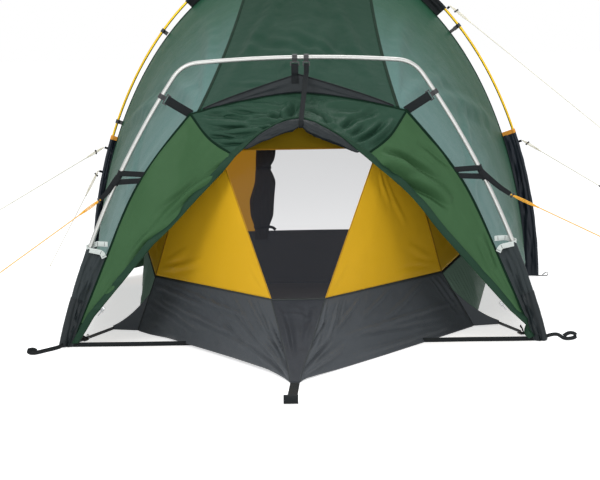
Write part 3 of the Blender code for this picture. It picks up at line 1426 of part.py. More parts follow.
def guylines(parent):
    """Taut guylines, from their tabs to just past the space round the tent."""
    for name, (colour, far_end, knots) in GUYLINES.items():
        start, end = guyline_ends(name)
        length = float(np.linalg.norm(end - start))
        marks = [(0.0, KNOT_SWELL), (0.004, KNOT_SWELL), (0.007, 1.0)]
        for knot in knots:
            marks += [(knot - 0.005, 1.0), (knot, KNOT_SWELL), (knot + 0.005, 1.0)]
        marks += [(length - 0.012, 1.0), (length - 0.008, KNOT_SWELL)]
        marks += [(length - 0.002, KNOT_SWELL), (length, 1.0)]
        curve = bpy.data.curves.new(name, "CURVE")
        curve.dimensions = "3D"
        curve.bevel_depth = CORD_RADIUS
        curve.bevel_resolution = 2
        curve.use_fill_caps = True
        line = curve.splines.new("POLY")
        line.points.add(len(marks) - 1)
        for point, (mark, swell) in zip(line.points, marks):
            point.co = (*(start + (end - start) * mark / length), 1.0)
            point.radius = swell
        curve.materials.append(material(colour))
        thing = bpy.data.objects.new(name, curve)
        bpy.context.scene.collection.objects.link(thing)
        thing.parent = parent


def line_tensioner(parent):
    """Small bar with a bore that slides along the right main guyline."""
    start, end = guyline_ends("guyline_main_right")
    along = unit(start - end)
    centre = end + along * TENSIONER_FROM_END
    half = TENSIONER_LENGTH / 2
    bore = CORD_RADIUS + GAP
    rings = []
    outline = ((-half, 0.0030), (-half * 0.6, 0.0048), (half * 0.6, 0.0048), (half, 0.0030))
    sides = 10
    angles = [2 * math.pi * k / sides for k in range(sides)]
    for z, radius in outline:
        rings.append([(radius * math.cos(a), 0.7 * radius * math.sin(a), z) for a in angles])
    for z in (half, -half):
        rings.append([(bore * math.cos(a), bore * math.sin(a), z) for a in angles])
    mesh = mesh_of("line_tensioner", [loft([[vec(*p) for p in r] for r in rings], closed=True)])
    place("line_tensioner", mesh, "black", parent, hook_frame(centre, vec(0, 1, 0), along))


def build():
    clear_scene()
    tent = bpy.data.objects.new("tent", None)
    bpy.context.scene.collection.objects.link(tent)
    pole("foot_hoop_pole", foot_hoop(), FOOT_POLE_RADIUS, "silver", tent)
    pole("main_hoop_pole", main_hoop(), MAIN_POLE_RADIUS, "yellow_pole", tent)
    sleeves(tent)
    fly(tent)
    hood(tent)
    ridge_gusset(tent)
    rolled_hatch(tent)
    vestibule(tent)
    vestibule_door(tent)
    inner_tent(tent)
    inner_door(tent)
    bathtub(tent)
    hooks(tent)
    mid_bands(tent)
    reflective_tabs(tent)
    main_clips(tent)
    ground_straps(tent)
    corner_straps(tent)
    zip_sliders(tent)
    guylines(tent)
    line_tensioner(tent)
    bpy.context.view_layer.update()


build()
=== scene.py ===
"""Looks of a pitched two-hoop backpacking tent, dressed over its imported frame.

Metres, +Z up. The foot hoop faces -Y. The sizes repeat the part's own, so that each piece lies
where the solid that it stands for is.
"""
import math

import bmesh
import bpy
import numpy as np
from mathutils import Matrix


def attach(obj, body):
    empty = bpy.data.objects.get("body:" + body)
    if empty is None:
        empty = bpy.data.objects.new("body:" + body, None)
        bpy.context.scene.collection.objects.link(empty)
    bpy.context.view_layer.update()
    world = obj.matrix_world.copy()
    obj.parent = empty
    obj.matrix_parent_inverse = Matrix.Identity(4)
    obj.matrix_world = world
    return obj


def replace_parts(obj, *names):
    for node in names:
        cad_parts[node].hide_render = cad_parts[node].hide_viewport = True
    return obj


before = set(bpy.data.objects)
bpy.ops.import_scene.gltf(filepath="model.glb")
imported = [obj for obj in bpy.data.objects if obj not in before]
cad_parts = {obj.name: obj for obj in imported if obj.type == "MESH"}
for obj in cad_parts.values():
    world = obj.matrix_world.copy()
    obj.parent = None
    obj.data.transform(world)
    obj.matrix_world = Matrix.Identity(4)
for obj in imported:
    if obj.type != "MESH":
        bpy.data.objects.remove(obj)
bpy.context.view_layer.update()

ROOT = "pitched_tent"
WORDS = {-1: "left", 1: "right"}

# Camera, fitted to the photograph
CAMERA_SPOT = (0.199, -7.0715, 0.951)
CAMERA_YAW = 1.797
CAMERA_PITCH = 5.799
CAMERA_ROLL = -1.056
LENS_MM = 134.8
SENSOR_MM = 36.0

# Frame
FOOT_Y = -0.6715
MAIN_Y = 0.8985
HEAD_Y = 0.7785
TAIL_Y = 1.6285
FLOOR_Z = 0.002
FOOT_HALF = 0.695
FOOT_HEIGHT = 0.8225
SHOULDER_X = 0.329
SHOULDER_DROP = 0.0145
SHOULDER_CUT = 0.045
LEG_BULGE = 0.042
FOOT_POLE_RADIUS = 0.0063
MAIN_HALF = 0.79
MAIN_HEIGHT = 1.19
MAIN_POLE_RADIUS = 0.0046
POLE_FOOT_Z = 0.0045

# Fly, hood and hatch
FLY_HANG = {-1: 0.017, 1: 0.045}
FLY_HANG_TOP = 0.036
RIDGE_INSETS = (0.030, 0.052, 0.058, 0.095)
CORNER_Z = 0.718
GUSSET_TOP = 0.7745
RIDGE_DROP = 0.1025
SEAM_FROM_CORNER = 0.025
SEAM_X_MAIN = 0.20
HEM_Z = 0.012
HEM_RISE = 0.020
HATCH_FOOT = 0.013
HATCH_LOW = (-0.065, 0.078)
HATCH_HIGH = (0.095, -0.355)
HATCH_BEND = (0.003, -0.235)
HATCH_SEAM = {-1: (-0.134, -0.117), 1: (-0.122, -0.122)}
# How far the hatch's left edge hangs in above a height, in this scene only
HATCH_SWELL_FOOT = 0.300
HATCH_SWELL = {-1: 0.027, 1: 0.0}
# The edges stand back from the sliders' path between these heights
ZIP_ROOM = 0.0020
ZIP_STRETCH = (0.05, 0.08, 0.31, 0.35)
# Heights, and how far the foot of the hatch's right edge stands out at each
TOE_DRAW = ((0.012, 0.020, 0.045, 0.065, 0.090), (0.022, 0.022, 0.020, 0.011, 0.0))
# How far the groundsheet's lower edge is drawn in, in steps, by its share of the way to the tip
PROW_DRAW = {
    -1: ((0.0, 0.09, 0.19, 0.37, 0.46, 0.61, 0.70, 0.82, 0.885, 0.946, 1.0),
         (0.0, 0.5, 3.2, 4.0, 4.6, 5.4, 5.5, 5.6, 4.2, 2.4, 0.0)),
    1: ((0.0, 0.55, 0.74, 0.81, 0.90, 0.957, 1.0), (0.0, 0.0, 0.6, 1.0, 1.9, 2.1, 0.0)),
}
PROW_STEP_IN = 0.0040
PROW_STEP_UP = 0.0014
HOOD_TOE_TOP = 0.062
HATCH_TOP_DROP = 0.066
HATCH_TOP_BOW = (0.004, 0.016)
HATCH_SEAM_LEAN = 0.86
HATCH_BEND_LEAN = 0.70
HOOD_LEAN = 0.13
HOOD_SEAM_BOW = (0.008, -0.012)
# The rolled cover: its radius, how far its middle hangs from the hatch's edge, and where its strap nips it
ROLL_RADIUS = 0.0185
ROLL_HANG = 0.0158
ROLL_FRONT = 0.006
ROLL_NIP = 0.36
ROLL_ENDS = (0.150, 0.172)
ROLL_TIE_X = 0.012
ROLL_NIP_WIDTH = 0.015
ROLL_SWELL = 0.15
ROLL_SWELL_X = 0.075

# Sleeves
SLEEVE_WALL = 0.0022
SLEEVE_SLACK = 0.0012
FOOT_SLEEVE_TOP = 0.285
MAIN_SLEEVE_TOP = 0.512
POCKET_CUFF_TOP = 0.145
TRIM_LENGTH = 0.013
FOOT_PLEATS = 0.009
MAIN_PLEATS = 0.006
APEX_PLEATS = 0.004
APEX_SLEEVE_HALF = {-1: 0.437, 1: 0.475}
SLEEVE_TABS = {
    "guyline_main_left": (-1, 0.478),
    "guyline_rear_left": (-1, 0.395),
    "guyline_main_right": (1, 0.478),
    "guyline_top_right": (1, 0.948),
}
SLEEVE_TAB_LENGTH = 0.010
SLEEVE_TAB_WIDTH = 0.008

# Vestibule
BROW_LENGTH = 0.25
BROW_DROP = 0.165
BROW_RISE = 0.014
DOOR_TOP_HALF = 0.205
DOOR_FOOT_HALF = 0.36
VESTIBULE_ROLL_RADIUS = 0.036
DOOR_TIES = (0.25, 0.72)
LOOP_REACH = 0.045
TAIL_LOOP_RADIUS = 0.008

# Inner tent and groundsheet
TIP_REACH = 0.683
TIP_HALF = 0.0125
FLOOR_CORNER_X = 0.507
FLOOR_CORNER_Y = 0.311
FLOOR_HEAD_HALF = 0.605
RIM_LEAN = 0.045
RIM_Z = 0.17
RIM_PULL = {-1: 0.0, 1: 0.036}
GUSSET_TOP_HALF = 0.073
GUSSET_TOP_REACH = 0.30
INNER_HEAD_HALF = 0.602
INNER_HEAD_HEIGHT = 1.075
INNER_CORNER_X = 0.272
INNER_CORNER_Y = 0.062
INNER_CORNER_Z = 0.598
INNER_TOP_Z = 0.645
MESH_TOP_Z = 0.560
MESH_MARGIN = 0.022
INNER_SEAM_X = 0.30
DOORWAY_LEFT = -0.165
DOORWAY_RIGHT = 0.36
DOORWAY_TOP = 0.84
DOORWAY_BEND = 0.11
DOOR_ROLL_RADIUS = 0.034
DOOR_BUNDLE_FOOT = 0.16
WING_X = 0.583
WING_Y = 0.325
WING_TOP_Z = 0.115

# Webbing and fittings
WEBBING = 0.0014
GAP = 0.0003
SEWN = 0.0005
CLOTH = 0.002
WIDE_WEBBING = 0.025
TOP_WEBBING = 0.020
ROLL_STRAP_WIDTH = 0.014
BASE_WEBBING = 0.013
BAND_WIDTH = 0.015
BAND_Z = (0.500, 0.479)
BAND_RING = {-1: (0.052, 0.062), 1: (0.082, 0.066)}
TAB_WIDTH = 0.007
TAB_Z = 0.297
HOOK_WALL = 0.0032
HOOK_PLATE = 0.003
HOOK_NECK = 0.0015
HOOK_BAR = 0.0033
HOOK_SWING_GAP = 0.0024
HOOK_PAIR_X = 0.009
HOOK_PAIR_STEP = 0.033
PROW_STRAP_LENGTH = 0.285
PROW_LOOP_REACH = 0.034
MAIN_LOOP_LENGTH = 0.034
FOOT_LOOPS = {
    -1: ((-0.690, -0.672, 0.009), (-0.697, -0.720, 0.008), (-0.728, -0.786, 0.008), (-0.752, -0.818, 0.007),
         (-0.765, -0.833, 0.010), (-0.768, -0.830, 0.016), (-0.757, -0.815, 0.016), (-0.748, -0.806, 0.011)),
    1: ((0.690, -0.672, 0.009), (0.712, -0.668, 0.016), (0.732, -0.668, 0.017), (0.750, -0.674, 0.007),
        (0.770, -0.672, 0.006), (0.784, -0.664, 0.010), (0.780, -0.656, 0.018), (0.764, -0.658, 0.019),
        (0.750, -0.666, 0.012)),
}
CORNER_STRAP_INSET = 0.024
# From the hoop's left foot to the ring and the lock of its strap
RING_FROM_FOOT = 0.132
LOCK_FROM_FOOT = 0.100
LOCK_HALF = 0.0095
BUCKLE_FROM_FOOT = 0.115
BUCKLE_LENGTH = 0.034
CORD_RADIUS = 0.0015
CORD_POINTS = 25
KNOT_SWELL = 2.0
FIRST_KNOT = 0.003
LAST_KNOT = 0.005
STRAND_APART = 0.0034

# Thickness of the cloth that shows, and how far it stands off the solid's own face
THIN = 0.0008
LIFT = 0.0006
TUB_THICK = 0.0012
# Pitch of the ribs in webbing
RIB = 0.0011
# Hems, seams and ties
HEM_BAND = 0.021
HEM_ROLL = 0.0065
HEM_WIDTH = 0.012
DOOR_HEM_WIDTH = 0.014
HEM_THICK = 0.0012
SEAM_BAND = 0.010
SEAM_THICK = 0.0009
TIE_THICK = 0.0012


def vec(*parts):
    return np.array(parts, dtype=float)


UP = vec(0, 0, 1)


def unit(vector):
    return vector / np.linalg.norm(vector)


def units(vectors):
    return vectors / np.maximum(np.linalg.norm(vectors, axis=-1, keepdims=True), 1e-12)


def run_of(points):
    """Distance along a polyline at each of its points."""
    return np.concatenate([[0.0], np.cumsum(np.linalg.norm(np.diff(points, axis=0), axis=1))])


def at_marks(points, run, marks):
    """Points of a polyline at distances along it."""
    return np.stack([np.interp(marks, run, points[:, k]) for k in range(points.shape[1])], axis=1)


def resample(points, count):
    """Points spaced evenly along a polyline."""
    points = np.asarray(points, dtype=float)
    run = run_of(points)
    return at_marks(points, run, np.linspace(0.0, run[-1], count))


def smooth_line(points, steps=16):
    """A Catmull-Rom curve through points."""
    points = [np.asarray(p, dtype=float) for p in points]
    ends = [2 * points[0] - points[1]] + points + [2 * points[-1] - points[-2]]
    curve = []
    for i in range(1, len(ends) - 2):
        a, b, c, d = ends[i - 1:i + 3]
        for step in range(steps):
            t = step / steps
            curve.append(0.5 * (2 * b + (c - a) * t + (2 * a - 5 * b + 4 * c - d) * t ** 2
                                + (3 * b - a - 3 * c + d) * t ** 3))
    curve.append(points[-1])
    return np.array(curve)


def straight(start, end, count):
    marks = np.linspace(0.0, 1.0, count)[:, None]
    return start * (1 - marks) + end * marks


def tangents(path):
    """Unit direction of a path at each of its points."""
    ahead = np.vstack([path[1:], 2 * path[-1] - path[-2]])
    behind = np.vstack([2 * path[0] - path[1], path[:-1]])
    return units(ahead - behind)


def at_height(path, height):
    """Point and direction where a rising path reaches a height."""
    index = int(np.argmax(path[:, 2] >= height))
    low, high = path[index - 1], path[index]
    share = (height - low[2]) / (high[2] - low[2])
    return low + (high - low) * share, unit(high - low)


def round_angles(count):
    return np.linspace(0, 2 * math.pi, count, endpoint=False)


def ring_of(centre, start, end, angles, radius=1.0):
    """Points round a centre, with start and end as its two square directions."""
    return centre + np.outer(radius * np.cos(angles), start) + np.outer(radius * np.sin(angles), end)


def round_turn(centre, start, end, radius, first, last, steps):
    return ring_of(centre, start, end, np.linspace(first, last, steps), radius)


def soft_noise(x, y, seed):
    """Smooth random heights between -1 and 1 over a plane."""
    table = np.random.default_rng(seed).uniform(-1.0, 1.0, (64, 64))
    i, j = np.floor(x).astype(int), np.floor(y).astype(int)
    a, b = x - i, y - j
    a, b = a * a * (3 - 2 * a), b * b * (3 - 2 * b)

    def at(p, q):
        return table[p % 64, q % 64]

    low = at(i, j) * (1 - a) + at(i + 1, j) * a
    high = at(i, j + 1) * (1 - a) + at(i + 1, j + 1) * a
    return low * (1 - b) + high * b


# Lines of the frame and the panels, as the part has them

def foot_hoop():
    """Right half of the foot hoop, from the ground to the middle."""
    foot = vec(FOOT_HALF, 0)
    shoulder = vec(SHOULDER_X, FOOT_HEIGHT - SHOULDER_DROP)
    out = unit(vec(shoulder[1] - foot[1], foot[0] - shoulder[0]))
    length = np.linalg.norm(shoulder - foot)
    shares = np.linspace(0.0, 1.0 - SHOULDER_CUT / length, 40)
    leg = np.array([foot + (shoulder - foot) * t + out * LEG_BULGE * 4 * t * (1 - t) for t in shares])
    across = np.linspace(SHOULDER_X - SHOULDER_CUT, 0.0, 24)
    top = np.array([(x, FOOT_HEIGHT - SHOULDER_DROP * (x / SHOULDER_X) ** 2) for x in across])
    bend = [leg[-1] * (1 - t) ** 2 + shoulder * 2 * t * (1 - t) + top[0] * t ** 2
            for t in np.linspace(0.1, 0.9, 9)]
    return np.array([(x, FOOT_Y, z) for x, z in np.vstack([leg, bend, top])])


def main_hoop():
    """Right half of the main hoop, a half ellipse, from the ground to the middle."""
    angles = np.linspace(0.0, math.pi / 2, 90)
    return np.array([(MAIN_HALF * math.cos(a), MAIN_Y, MAIN_HEIGHT * math.sin(a)) for a in angles])


def both_sides(half):
    """A whole hoop from its right half, left foot to right foot."""
    return np.vstack([half * vec(-1, 1, 1), half[::-1][1:]])


def leg_up_to(half, height, count, side):
    """A hoop's leg from the ground up to a height."""
    leg = np.vstack([half[half[:, 2] < height], at_height(half, height)[0]])
    return resample(leg, count) * vec(side, 1, 1)


def fly_arch(side, count, first_z=HEM_Z, last_x=SEAM_X_MAIN):
    """The fly's line under the main hoop, from near the ground up to a distance from the middle."""
    half = MAIN_HALF - FLY_HANG[side]
    height = MAIN_HEIGHT - FLY_HANG_TOP
    angles = np.linspace(math.asin(first_z / height), math.acos(last_x / half), 90)
    return resample([(side * half * math.cos(a), MAIN_Y, height * math.sin(a)) for a in angles], count)


def fly_top_arch(count):
    """The fly's line under the top of the main hoop, between its two seams."""
    left = fly_arch(-1, 60, first_z=fly_arch(-1, 2)[-1][2], last_x=0.001)
    right = fly_arch(1, 60, first_z=fly_arch(1, 2)[-1][2], last_x=0.001)
    return resample(np.vstack([left, right[::-1]]), count)


def ridge_leg(side, count):
    """The fly's front edge inside one leg of the foot hoop, from the ground up to its corner."""
    hoop = foot_hoop()
    leg = hoop[hoop[:, 2] <= CORNER_Z]
    leg = resample(np.vstack([leg, at_height(hoop, CORNER_Z)[0]]), 31)
    insets = smooth_line([(i,) for i in RIDGE_INSETS])[:, 0]
    inset = np.interp(np.linspace(0, 1, 31), np.linspace(0, 1, len(insets)), insets)
    line = []
    for point, along, step in zip(leg, tangents(leg), inset):
        inward = vec(-along[2], 0, along[0])
        line.append((point + inward * step) * vec(side, 1, 1))
    line = np.array(line)
    start = at_height(line, HEM_Z)[0]
    return resample(np.vstack([start, line[line[:, 2] > HEM_Z]]), count)


RIDGE_CORNER = {side: ridge_leg(side, 2)[-1] for side in WORDS}


def ridge_height(x):
    """Height of the fly's front edge between its two corners."""
    corner = RIDGE_CORNER[1]
    top = FOOT_HEIGHT - RIDGE_DROP
    return top - (top - corner[2]) * abs(x / corner[0]) ** 1.5


def ridge_top(first_x, last_x, count):
    return np.array([(x, FOOT_Y, ridge_height(x)) for x in np.linspace(first_x, last_x, count)])


def seam_start(side):
    x = side * (RIDGE_CORNER[1][0] - SEAM_FROM_CORNER)
    return vec(x, FOOT_Y, ridge_height(x))


def fly_seam(side, count):
    """Seam between the roof and one side of the fly."""
    share = np.linspace(0, 1, count)
    line = straight(seam_start(side), fly_arch(side, 2)[-1], count)
    sag = 4 * share * (1 - share)
    line[:, 0] -= side * 0.012 * sag
    line[:, 2] -= 0.010 * sag
    return line


def hatch_seam_foot(side):
    corner = RIDGE_CORNER[side]
    y = FOOT_Y - HATCH_SEAM_LEAN * HOOD_LEAN
    return vec(corner[0] + side * HATCH_SEAM[side][0], y, corner[2] + HATCH_SEAM[side][1])


def hatch_zip(side):
    """Ends of the straight stretch of the hatch's zip."""
    foot, corner = ridge_leg(side, 2)
    top = FOOT_HEIGHT - RIDGE_DROP - HATCH_TOP_DROP
    low = vec(foot[0] + side * HATCH_LOW[0], 0, foot[2] + HATCH_LOW[1])
    high = vec(corner[0] + side * HATCH_HIGH[0], 0, corner[2] + HATCH_HIGH[1])
    for end in (low, high):
        end[1] = FOOT_Y - HOOD_LEAN * end[2] / top
    return low, high


def hatch_side(side, count):
    """The hatch's edge on one side, from the ground up to the corner seam."""
    foot, corner = ridge_leg(side, 2)
    low, high = hatch_zip(side)
    y = FOOT_Y - HATCH_BEND_LEAN * HOOD_LEAN
    bend = vec(corner[0] + side * HATCH_BEND[0], y, corner[2] + HATCH_BEND[1])
    start = vec(foot[0] - side * HATCH_FOOT, FOOT_Y - 0.002, HEM_Z)
    upper = smooth_line([high, bend, hatch_seam_foot(side)])
    path = resample(np.vstack([start, straight(low, high, 12), upper[1:]]), count)
    share = np.clip((path[:, 2] - HATCH_SWELL_FOOT) / (hatch_seam_foot(side)[2] - HATCH_SWELL_FOOT), 0, 1)
    path[:, 0] -= side * HATCH_SWELL[side] * np.sin(np.pi * share ** 1.1)
    path[:, 0] += side * ZIP_ROOM * np.interp(path[:, 2], ZIP_STRETCH, (0, 1, 1, 0))
    if side == 1:
        path[:, 0] += np.interp(path[:, 2], TOE_DRAW[0], TOE_DRAW[1])
    return path


def hatch_top(count):
    """The hatch's edge across the top, from left to right."""
    left, right = hatch_seam_foot(-1), hatch_seam_foot(1)
    middle = vec(0, FOOT_Y - HOOD_LEAN, FOOT_HEIGHT - RIDGE_DROP - HATCH_TOP_DROP)
    quarter = (right + middle) / 2 + vec(HATCH_TOP_BOW[0], 0, HATCH_TOP_BOW[1])
    return resample(smooth_line([left, quarter * vec(-1, 1, 1), middle, quarter, right]), count)


def hood_seam(side, count):
    """Seam between a side of the hood and its gathered middle."""
    corner, foot = RIDGE_CORNER[side], hatch_seam_foot(side)
    middle = (corner + foot) / 2 + vec(side * HOOD_SEAM_BOW[0], 0, HOOD_SEAM_BOW[1])
    return resample(smooth_line([corner, middle, foot]), count)


def roll_hang(count):
    """The hatch's edge along the rolled cover, and the way from it to the middle of the roll."""
    edge = hatch_top(241)
    edge = resample(edge[(edge[:, 0] >= -ROLL_ENDS[0]) & (edge[:, 0] <= ROLL_ENDS[1])], count)
    along = tangents(edge)
    way = units(np.stack([along[:, 2], np.zeros(count), -along[:, 0]], axis=1))
    return edge, ROLL_HANG * way + vec(0, -ROLL_FRONT, 0)


def gusset_edge(x):
    """Height of the hanging gusset's upper edge."""
    corner = seam_start(1)
    share = 1 - abs(x) / corner[0]
    return corner[2] + CLOTH + SEWN + (GUSSET_TOP - corner[2]) * share ** 0.85


def door_corner(side, top):
    """A corner of the doorway in the vestibule's sloping end."""
    if top:
        return vec(side * DOOR_TOP_HALF, MAIN_Y + BROW_LENGTH, MAIN_HEIGHT - FLY_HANG_TOP - BROW_DROP)
    return vec(side * DOOR_FOOT_HALF, TAIL_Y, HEM_Z)


def inner_head(side, count, first_z=RIM_Z, last_x=INNER_SEAM_X):
    """The inner tent's line in the plane of its head wall."""
    low = math.asin(first_z / INNER_HEAD_HEIGHT)
    angles = np.linspace(low, math.acos(last_x / INNER_HEAD_HALF), 80)
    points = [(side * INNER_HEAD_HALF * math.cos(a), HEAD_Y, INNER_HEAD_HEIGHT * math.sin(a)) for a in angles]
    return resample(points, count)


def rim_corner(side):
    x = side * (FLOOR_CORNER_X - RIM_LEAN - 0.015) - RIM_PULL[side]
    return vec(x, FOOT_Y + FLOOR_CORNER_Y - 0.008, RIM_Z)


def rim_gusset(side):
    return vec(side * GUSSET_TOP_HALF, FOOT_Y - GUSSET_TOP_REACH, RIM_Z)


def inner_corner(side):
    return vec(side * INNER_CORNER_X, FOOT_Y + INNER_CORNER_Y, INNER_CORNER_Z)


def inner_top_edge(count):
    """Front edge of the inner roof, between its two corners."""
    middle = vec(0, FOOT_Y + INNER_CORNER_Y - 0.012, INNER_TOP_Z)
    return resample(smooth_line([inner_corner(-1), middle, inner_corner(1)]), count)


def mesh_corner(side):
    """Upper corner of the netting, on the line where the front's top panel starts."""
    share = (MESH_TOP_Z - RIM_Z) / (INNER_CORNER_Z - RIM_Z)
    outer = rim_corner(side) * (1 - share) + inner_corner(side) * share
    slope = (INNER_CORNER_Y + GUSSET_TOP_REACH) / (INNER_TOP_Z - RIM_Z)
    back = FOOT_Y - GUSSET_TOP_REACH + (MESH_TOP_Z - RIM_Z) * slope
    return vec(outer[0] - side * (MESH_MARGIN + 0.04), back, MESH_TOP_Z)


def foot_hoop_at(height, side):
    point, along = at_height(foot_hoop(), height)
    return point * vec(side, 1, 1), along * vec(side, 1, 1)


def inward_at(along, side):
    return unit(vec(-side * abs(along[2]), 0, -abs(along[0])))


def guy_ring(side):
    """Outer end of a foot guyline's tab."""
    out, down = BAND_RING[side]
    return foot_hoop_at(sum(BAND_Z) / 2, side)[0] + vec(side * out, 0, -down)


def tab_ends(side, height):
    """Where a guyline's tab leaves the main sleeve, where it ends, and its direction."""
    spot, along = at_height(main_hoop(), height)
    out = vec(side * abs(along[2]), 0, abs(along[0]))
    wall = MAIN_POLE_RADIUS + SLEEVE_SLACK + SLEEVE_WALL
    spot = spot * vec(side, 1, 1)
    return spot + out * (wall - SLEEVE_WALL / 2), spot + out * (wall + SLEEVE_TAB_LENGTH), out


# Finishes

def srgb(red, green, blue):
    """Linear colour from the 0 to 255 values that it shows as."""
    return tuple(c / 3294.6 if c <= 10.3 else ((c / 255 + 0.055) / 1.055) ** 2.4 for c in (red, green, blue))


class Tree:
    """The nodes of a material or of the world."""

    def __init__(self, tree):
        self.nodes, self.links = tree.nodes, tree.links

    def add(self, kind, inputs=None, **settings):
        """A node with its settings and with values or links on its inputs."""
        made = self.nodes.new("ShaderNode" + kind)
        for key, value in settings.items():
            setattr(made, key, value)
        for key, value in (inputs or {}).items():
            if isinstance(value, bpy.types.NodeSocket):
                self.links.new(value, made.inputs[key])
            else:
                made.inputs[key].default_value = value
        return made

    def place(self, kind):
        return self.add("TexCoord").outputs[kind]

    def maths(self, operation, first, second):
        return self.add("Math", {0: first, 1: second}, operation=operation).outputs[0]

    def bands(self, where, pitch, direction):
        """Even waves with a pitch in metres, along X or Y of a coordinate."""
        return self.add("TexWave", {"Vector": where, "Scale": math.pi / (10 * pitch)}, wave_type="BANDS",
                        bands_direction=direction).outputs["Fac"]

    def noise(self, where, scale, detail, **more):
        made = self.add("TexNoise", {"Vector": where, "Scale": scale, "Detail": detail, **more})
        return made.outputs["Fac"]

    def mixed(self, first, second, factor):
        made = self.add("Mix", {"A": first, "B": second, "Factor": factor}, data_type="RGBA")
        return made.outputs["Result"]

    def tinted(self, colour, amount, factor):
        """Colour that a factor moves between darker and lighter by an amount."""
        dark = tuple(c * (1 - amount) for c in colour)
        light = tuple(min(1.0, c * (1 + amount) + 0.004) for c in colour)
        return self.mixed((*dark, 1.0), (*light, 1.0), factor)


class Finish(Tree):
    """A Principled material whose even values are set on its own sockets."""

    def __init__(self, name, colour, roughness, **sockets):
        self.made = bpy.data.materials.new(name)
        self.made.use_nodes = True
        super().__init__(self.made.node_tree)
        self.sockets = self.nodes["Principled BSDF"].inputs
        for socket, value in {"Base_Color": (*colour, 1.0), "Roughness": roughness, **sockets}.items():
            self.sockets[socket.replace("_", " ")].default_value = value

    def dress(self, colour, height, strength, distance, worn=None, rough=()):
        """Link the colour, the bumps and an uneven roughness, and give back the material."""
        self.links.new(colour, self.sockets["Base Color"])
        if worn:
            spread = self.add("MapRange", {"Value": worn, "To Min": rough[0], "To Max": rough[1]})
            self.links.new(spread.outputs[0], self.sockets["Roughness"])
        bump = self.add("Bump", {"Strength": strength, "Distance": distance, "Height": height})
        self.links.new(bump.outputs[0], self.sockets["Normal"])
        return self.made


def woven(name, colour, roughness=0.5, pitch=0.0006, ripstop=0.0, relief=0.35, variation=0.10, alpha=1.0,
          front=None, gloss=0.1, glow=0.0):
    """Fine woven cloth, with a ripstop grid where one is asked for, soft unevenness and small creases.

    front is a painted sheen: a paler colour towards the foot hoop, standing in for the reflection on the
    glossy cloth there. glow is painted light: an emission in the cloth's own colour, standing in for daylight
    that passes through the cloth.
    """
    # Painted light: the cloth glows in its own colour, standing in for daylight coming through it.
    light = {"Emission_Color": (*colour, 1.0), "Emission_Strength": glow} if glow else {}
    tree = Finish(name, colour, roughness, Alpha=alpha, Specular_IOR_Level=gloss, **light)
    uv, place = tree.place("UV"), tree.place("Object")
    weave = tree.maths("ADD", tree.bands(uv, pitch, "X"), tree.bands(uv, pitch, "Y"))
    cloudy = tree.noise(place, 9.0, 5.0, Roughness=0.6)
    crumple = tree.noise(place, 42.0, 4.0, Roughness=0.55, Distortion=0.4)
    height = tree.maths("ADD", tree.maths("MULTIPLY", weave, 0.10), crumple)
    shade = cloudy
    if ripstop:
        lines = tree.maths("MAXIMUM", tree.bands(uv, ripstop, "X"), tree.bands(uv, ripstop, "Y"))
        lines = tree.maths("POWER", lines, 18.0)
        height = tree.maths("ADD", height, tree.maths("MULTIPLY", lines, 0.22))
        shade = tree.maths("ADD", cloudy, tree.maths("MULTIPLY", lines, 0.18))
    result = tree.tinted(colour, variation, shade)
    # Painted sheen: towards the foot hoop the colour turns to the paler front colour, standing in for
    # reflection on the glossy cloth.
    if front:
        along = tree.add("SeparateXYZ", {0: place}).outputs["Y"]
        drift = tree.maths("ADD", along, tree.maths("MULTIPLY", cloudy, 0.5))
        share = tree.add("MapRange", {"Value": drift, "From Min": FOOT_Y + 0.15, "From Max": MAIN_Y + 0.1},
                         interpolation_type="SMOOTHSTEP").outputs[0]
        result = tree.mixed(tree.tinted(front, variation, shade), result, share)
    return tree.dress(result, height, relief, 0.0012, crumple, (roughness - 0.06, roughness + 0.10))


def webbed(name, colour, roughness=0.62, variation=0.20):
    """Woven tape or webbing, with ribs along it, picks across it and an uneven tone."""
    tree = Finish(name, colour, roughness, Specular_IOR_Level=0.15)
    uv = tree.place("UV")
    weave = tree.maths("MULTIPLY", tree.bands(uv, RIB, "X"), tree.bands(uv, RIB * 0.75, "Y"))
    shade = tree.maths("ADD", tree.maths("MULTIPLY", weave, 0.5),
                       tree.maths("MULTIPLY", tree.noise(uv, 160.0, 4.0), 0.5))
    return tree.dress(tree.tinted(colour, variation, shade), weave, 0.6, 0.0006)


def metal(name, colour, roughness, metallic=1.0):
    """Drawn tube, with fine lengthwise lines and faint wear."""
    tree = Finish(name, colour, roughness, Metallic=metallic)
    stretched = tree.add("Mapping", {"Vector": tree.place("UV"), "Scale": (900.0, 14.0, 1.0)}).outputs[0]
    lines = tree.noise(stretched, 1.0, 3.0)
    tint = tree.tinted(colour, 0.06, tree.noise(tree.place("Object"), 60.0, 5.0))
    return tree.dress(tint, lines, 0.12, 0.0003, lines, (roughness - 0.10, roughness + 0.10))


def moulded(name, colour):
    """Moulded plastic with a fine spark-eroded grain."""
    tree = Finish(name, colour, 0.42, Specular_IOR_Level=0.5)
    place = tree.place("Object")
    tint = tree.tinted(colour, 0.25, tree.noise(place, 90.0, 4.0))
    return tree.dress(tint, tree.noise(place, 1500.0, 2.0), 0.25, 0.0004)


def braided(name, colour, tracer):
    """Braided cord, with a paler tracer thread wound through it."""
    tree = Finish(name, colour, 0.6, Sheen_Weight=0.2)
    place = tree.place("Object")
    braid = tree.maths("MULTIPLY", tree.bands(place, 0.0016, "DIAGONAL"), tree.bands(place, 0.0011, "X"))
    return tree.dress(tree.mixed((*colour, 1.0), (*tracer, 1.0), braid), braid, 0.4, 0.0004)


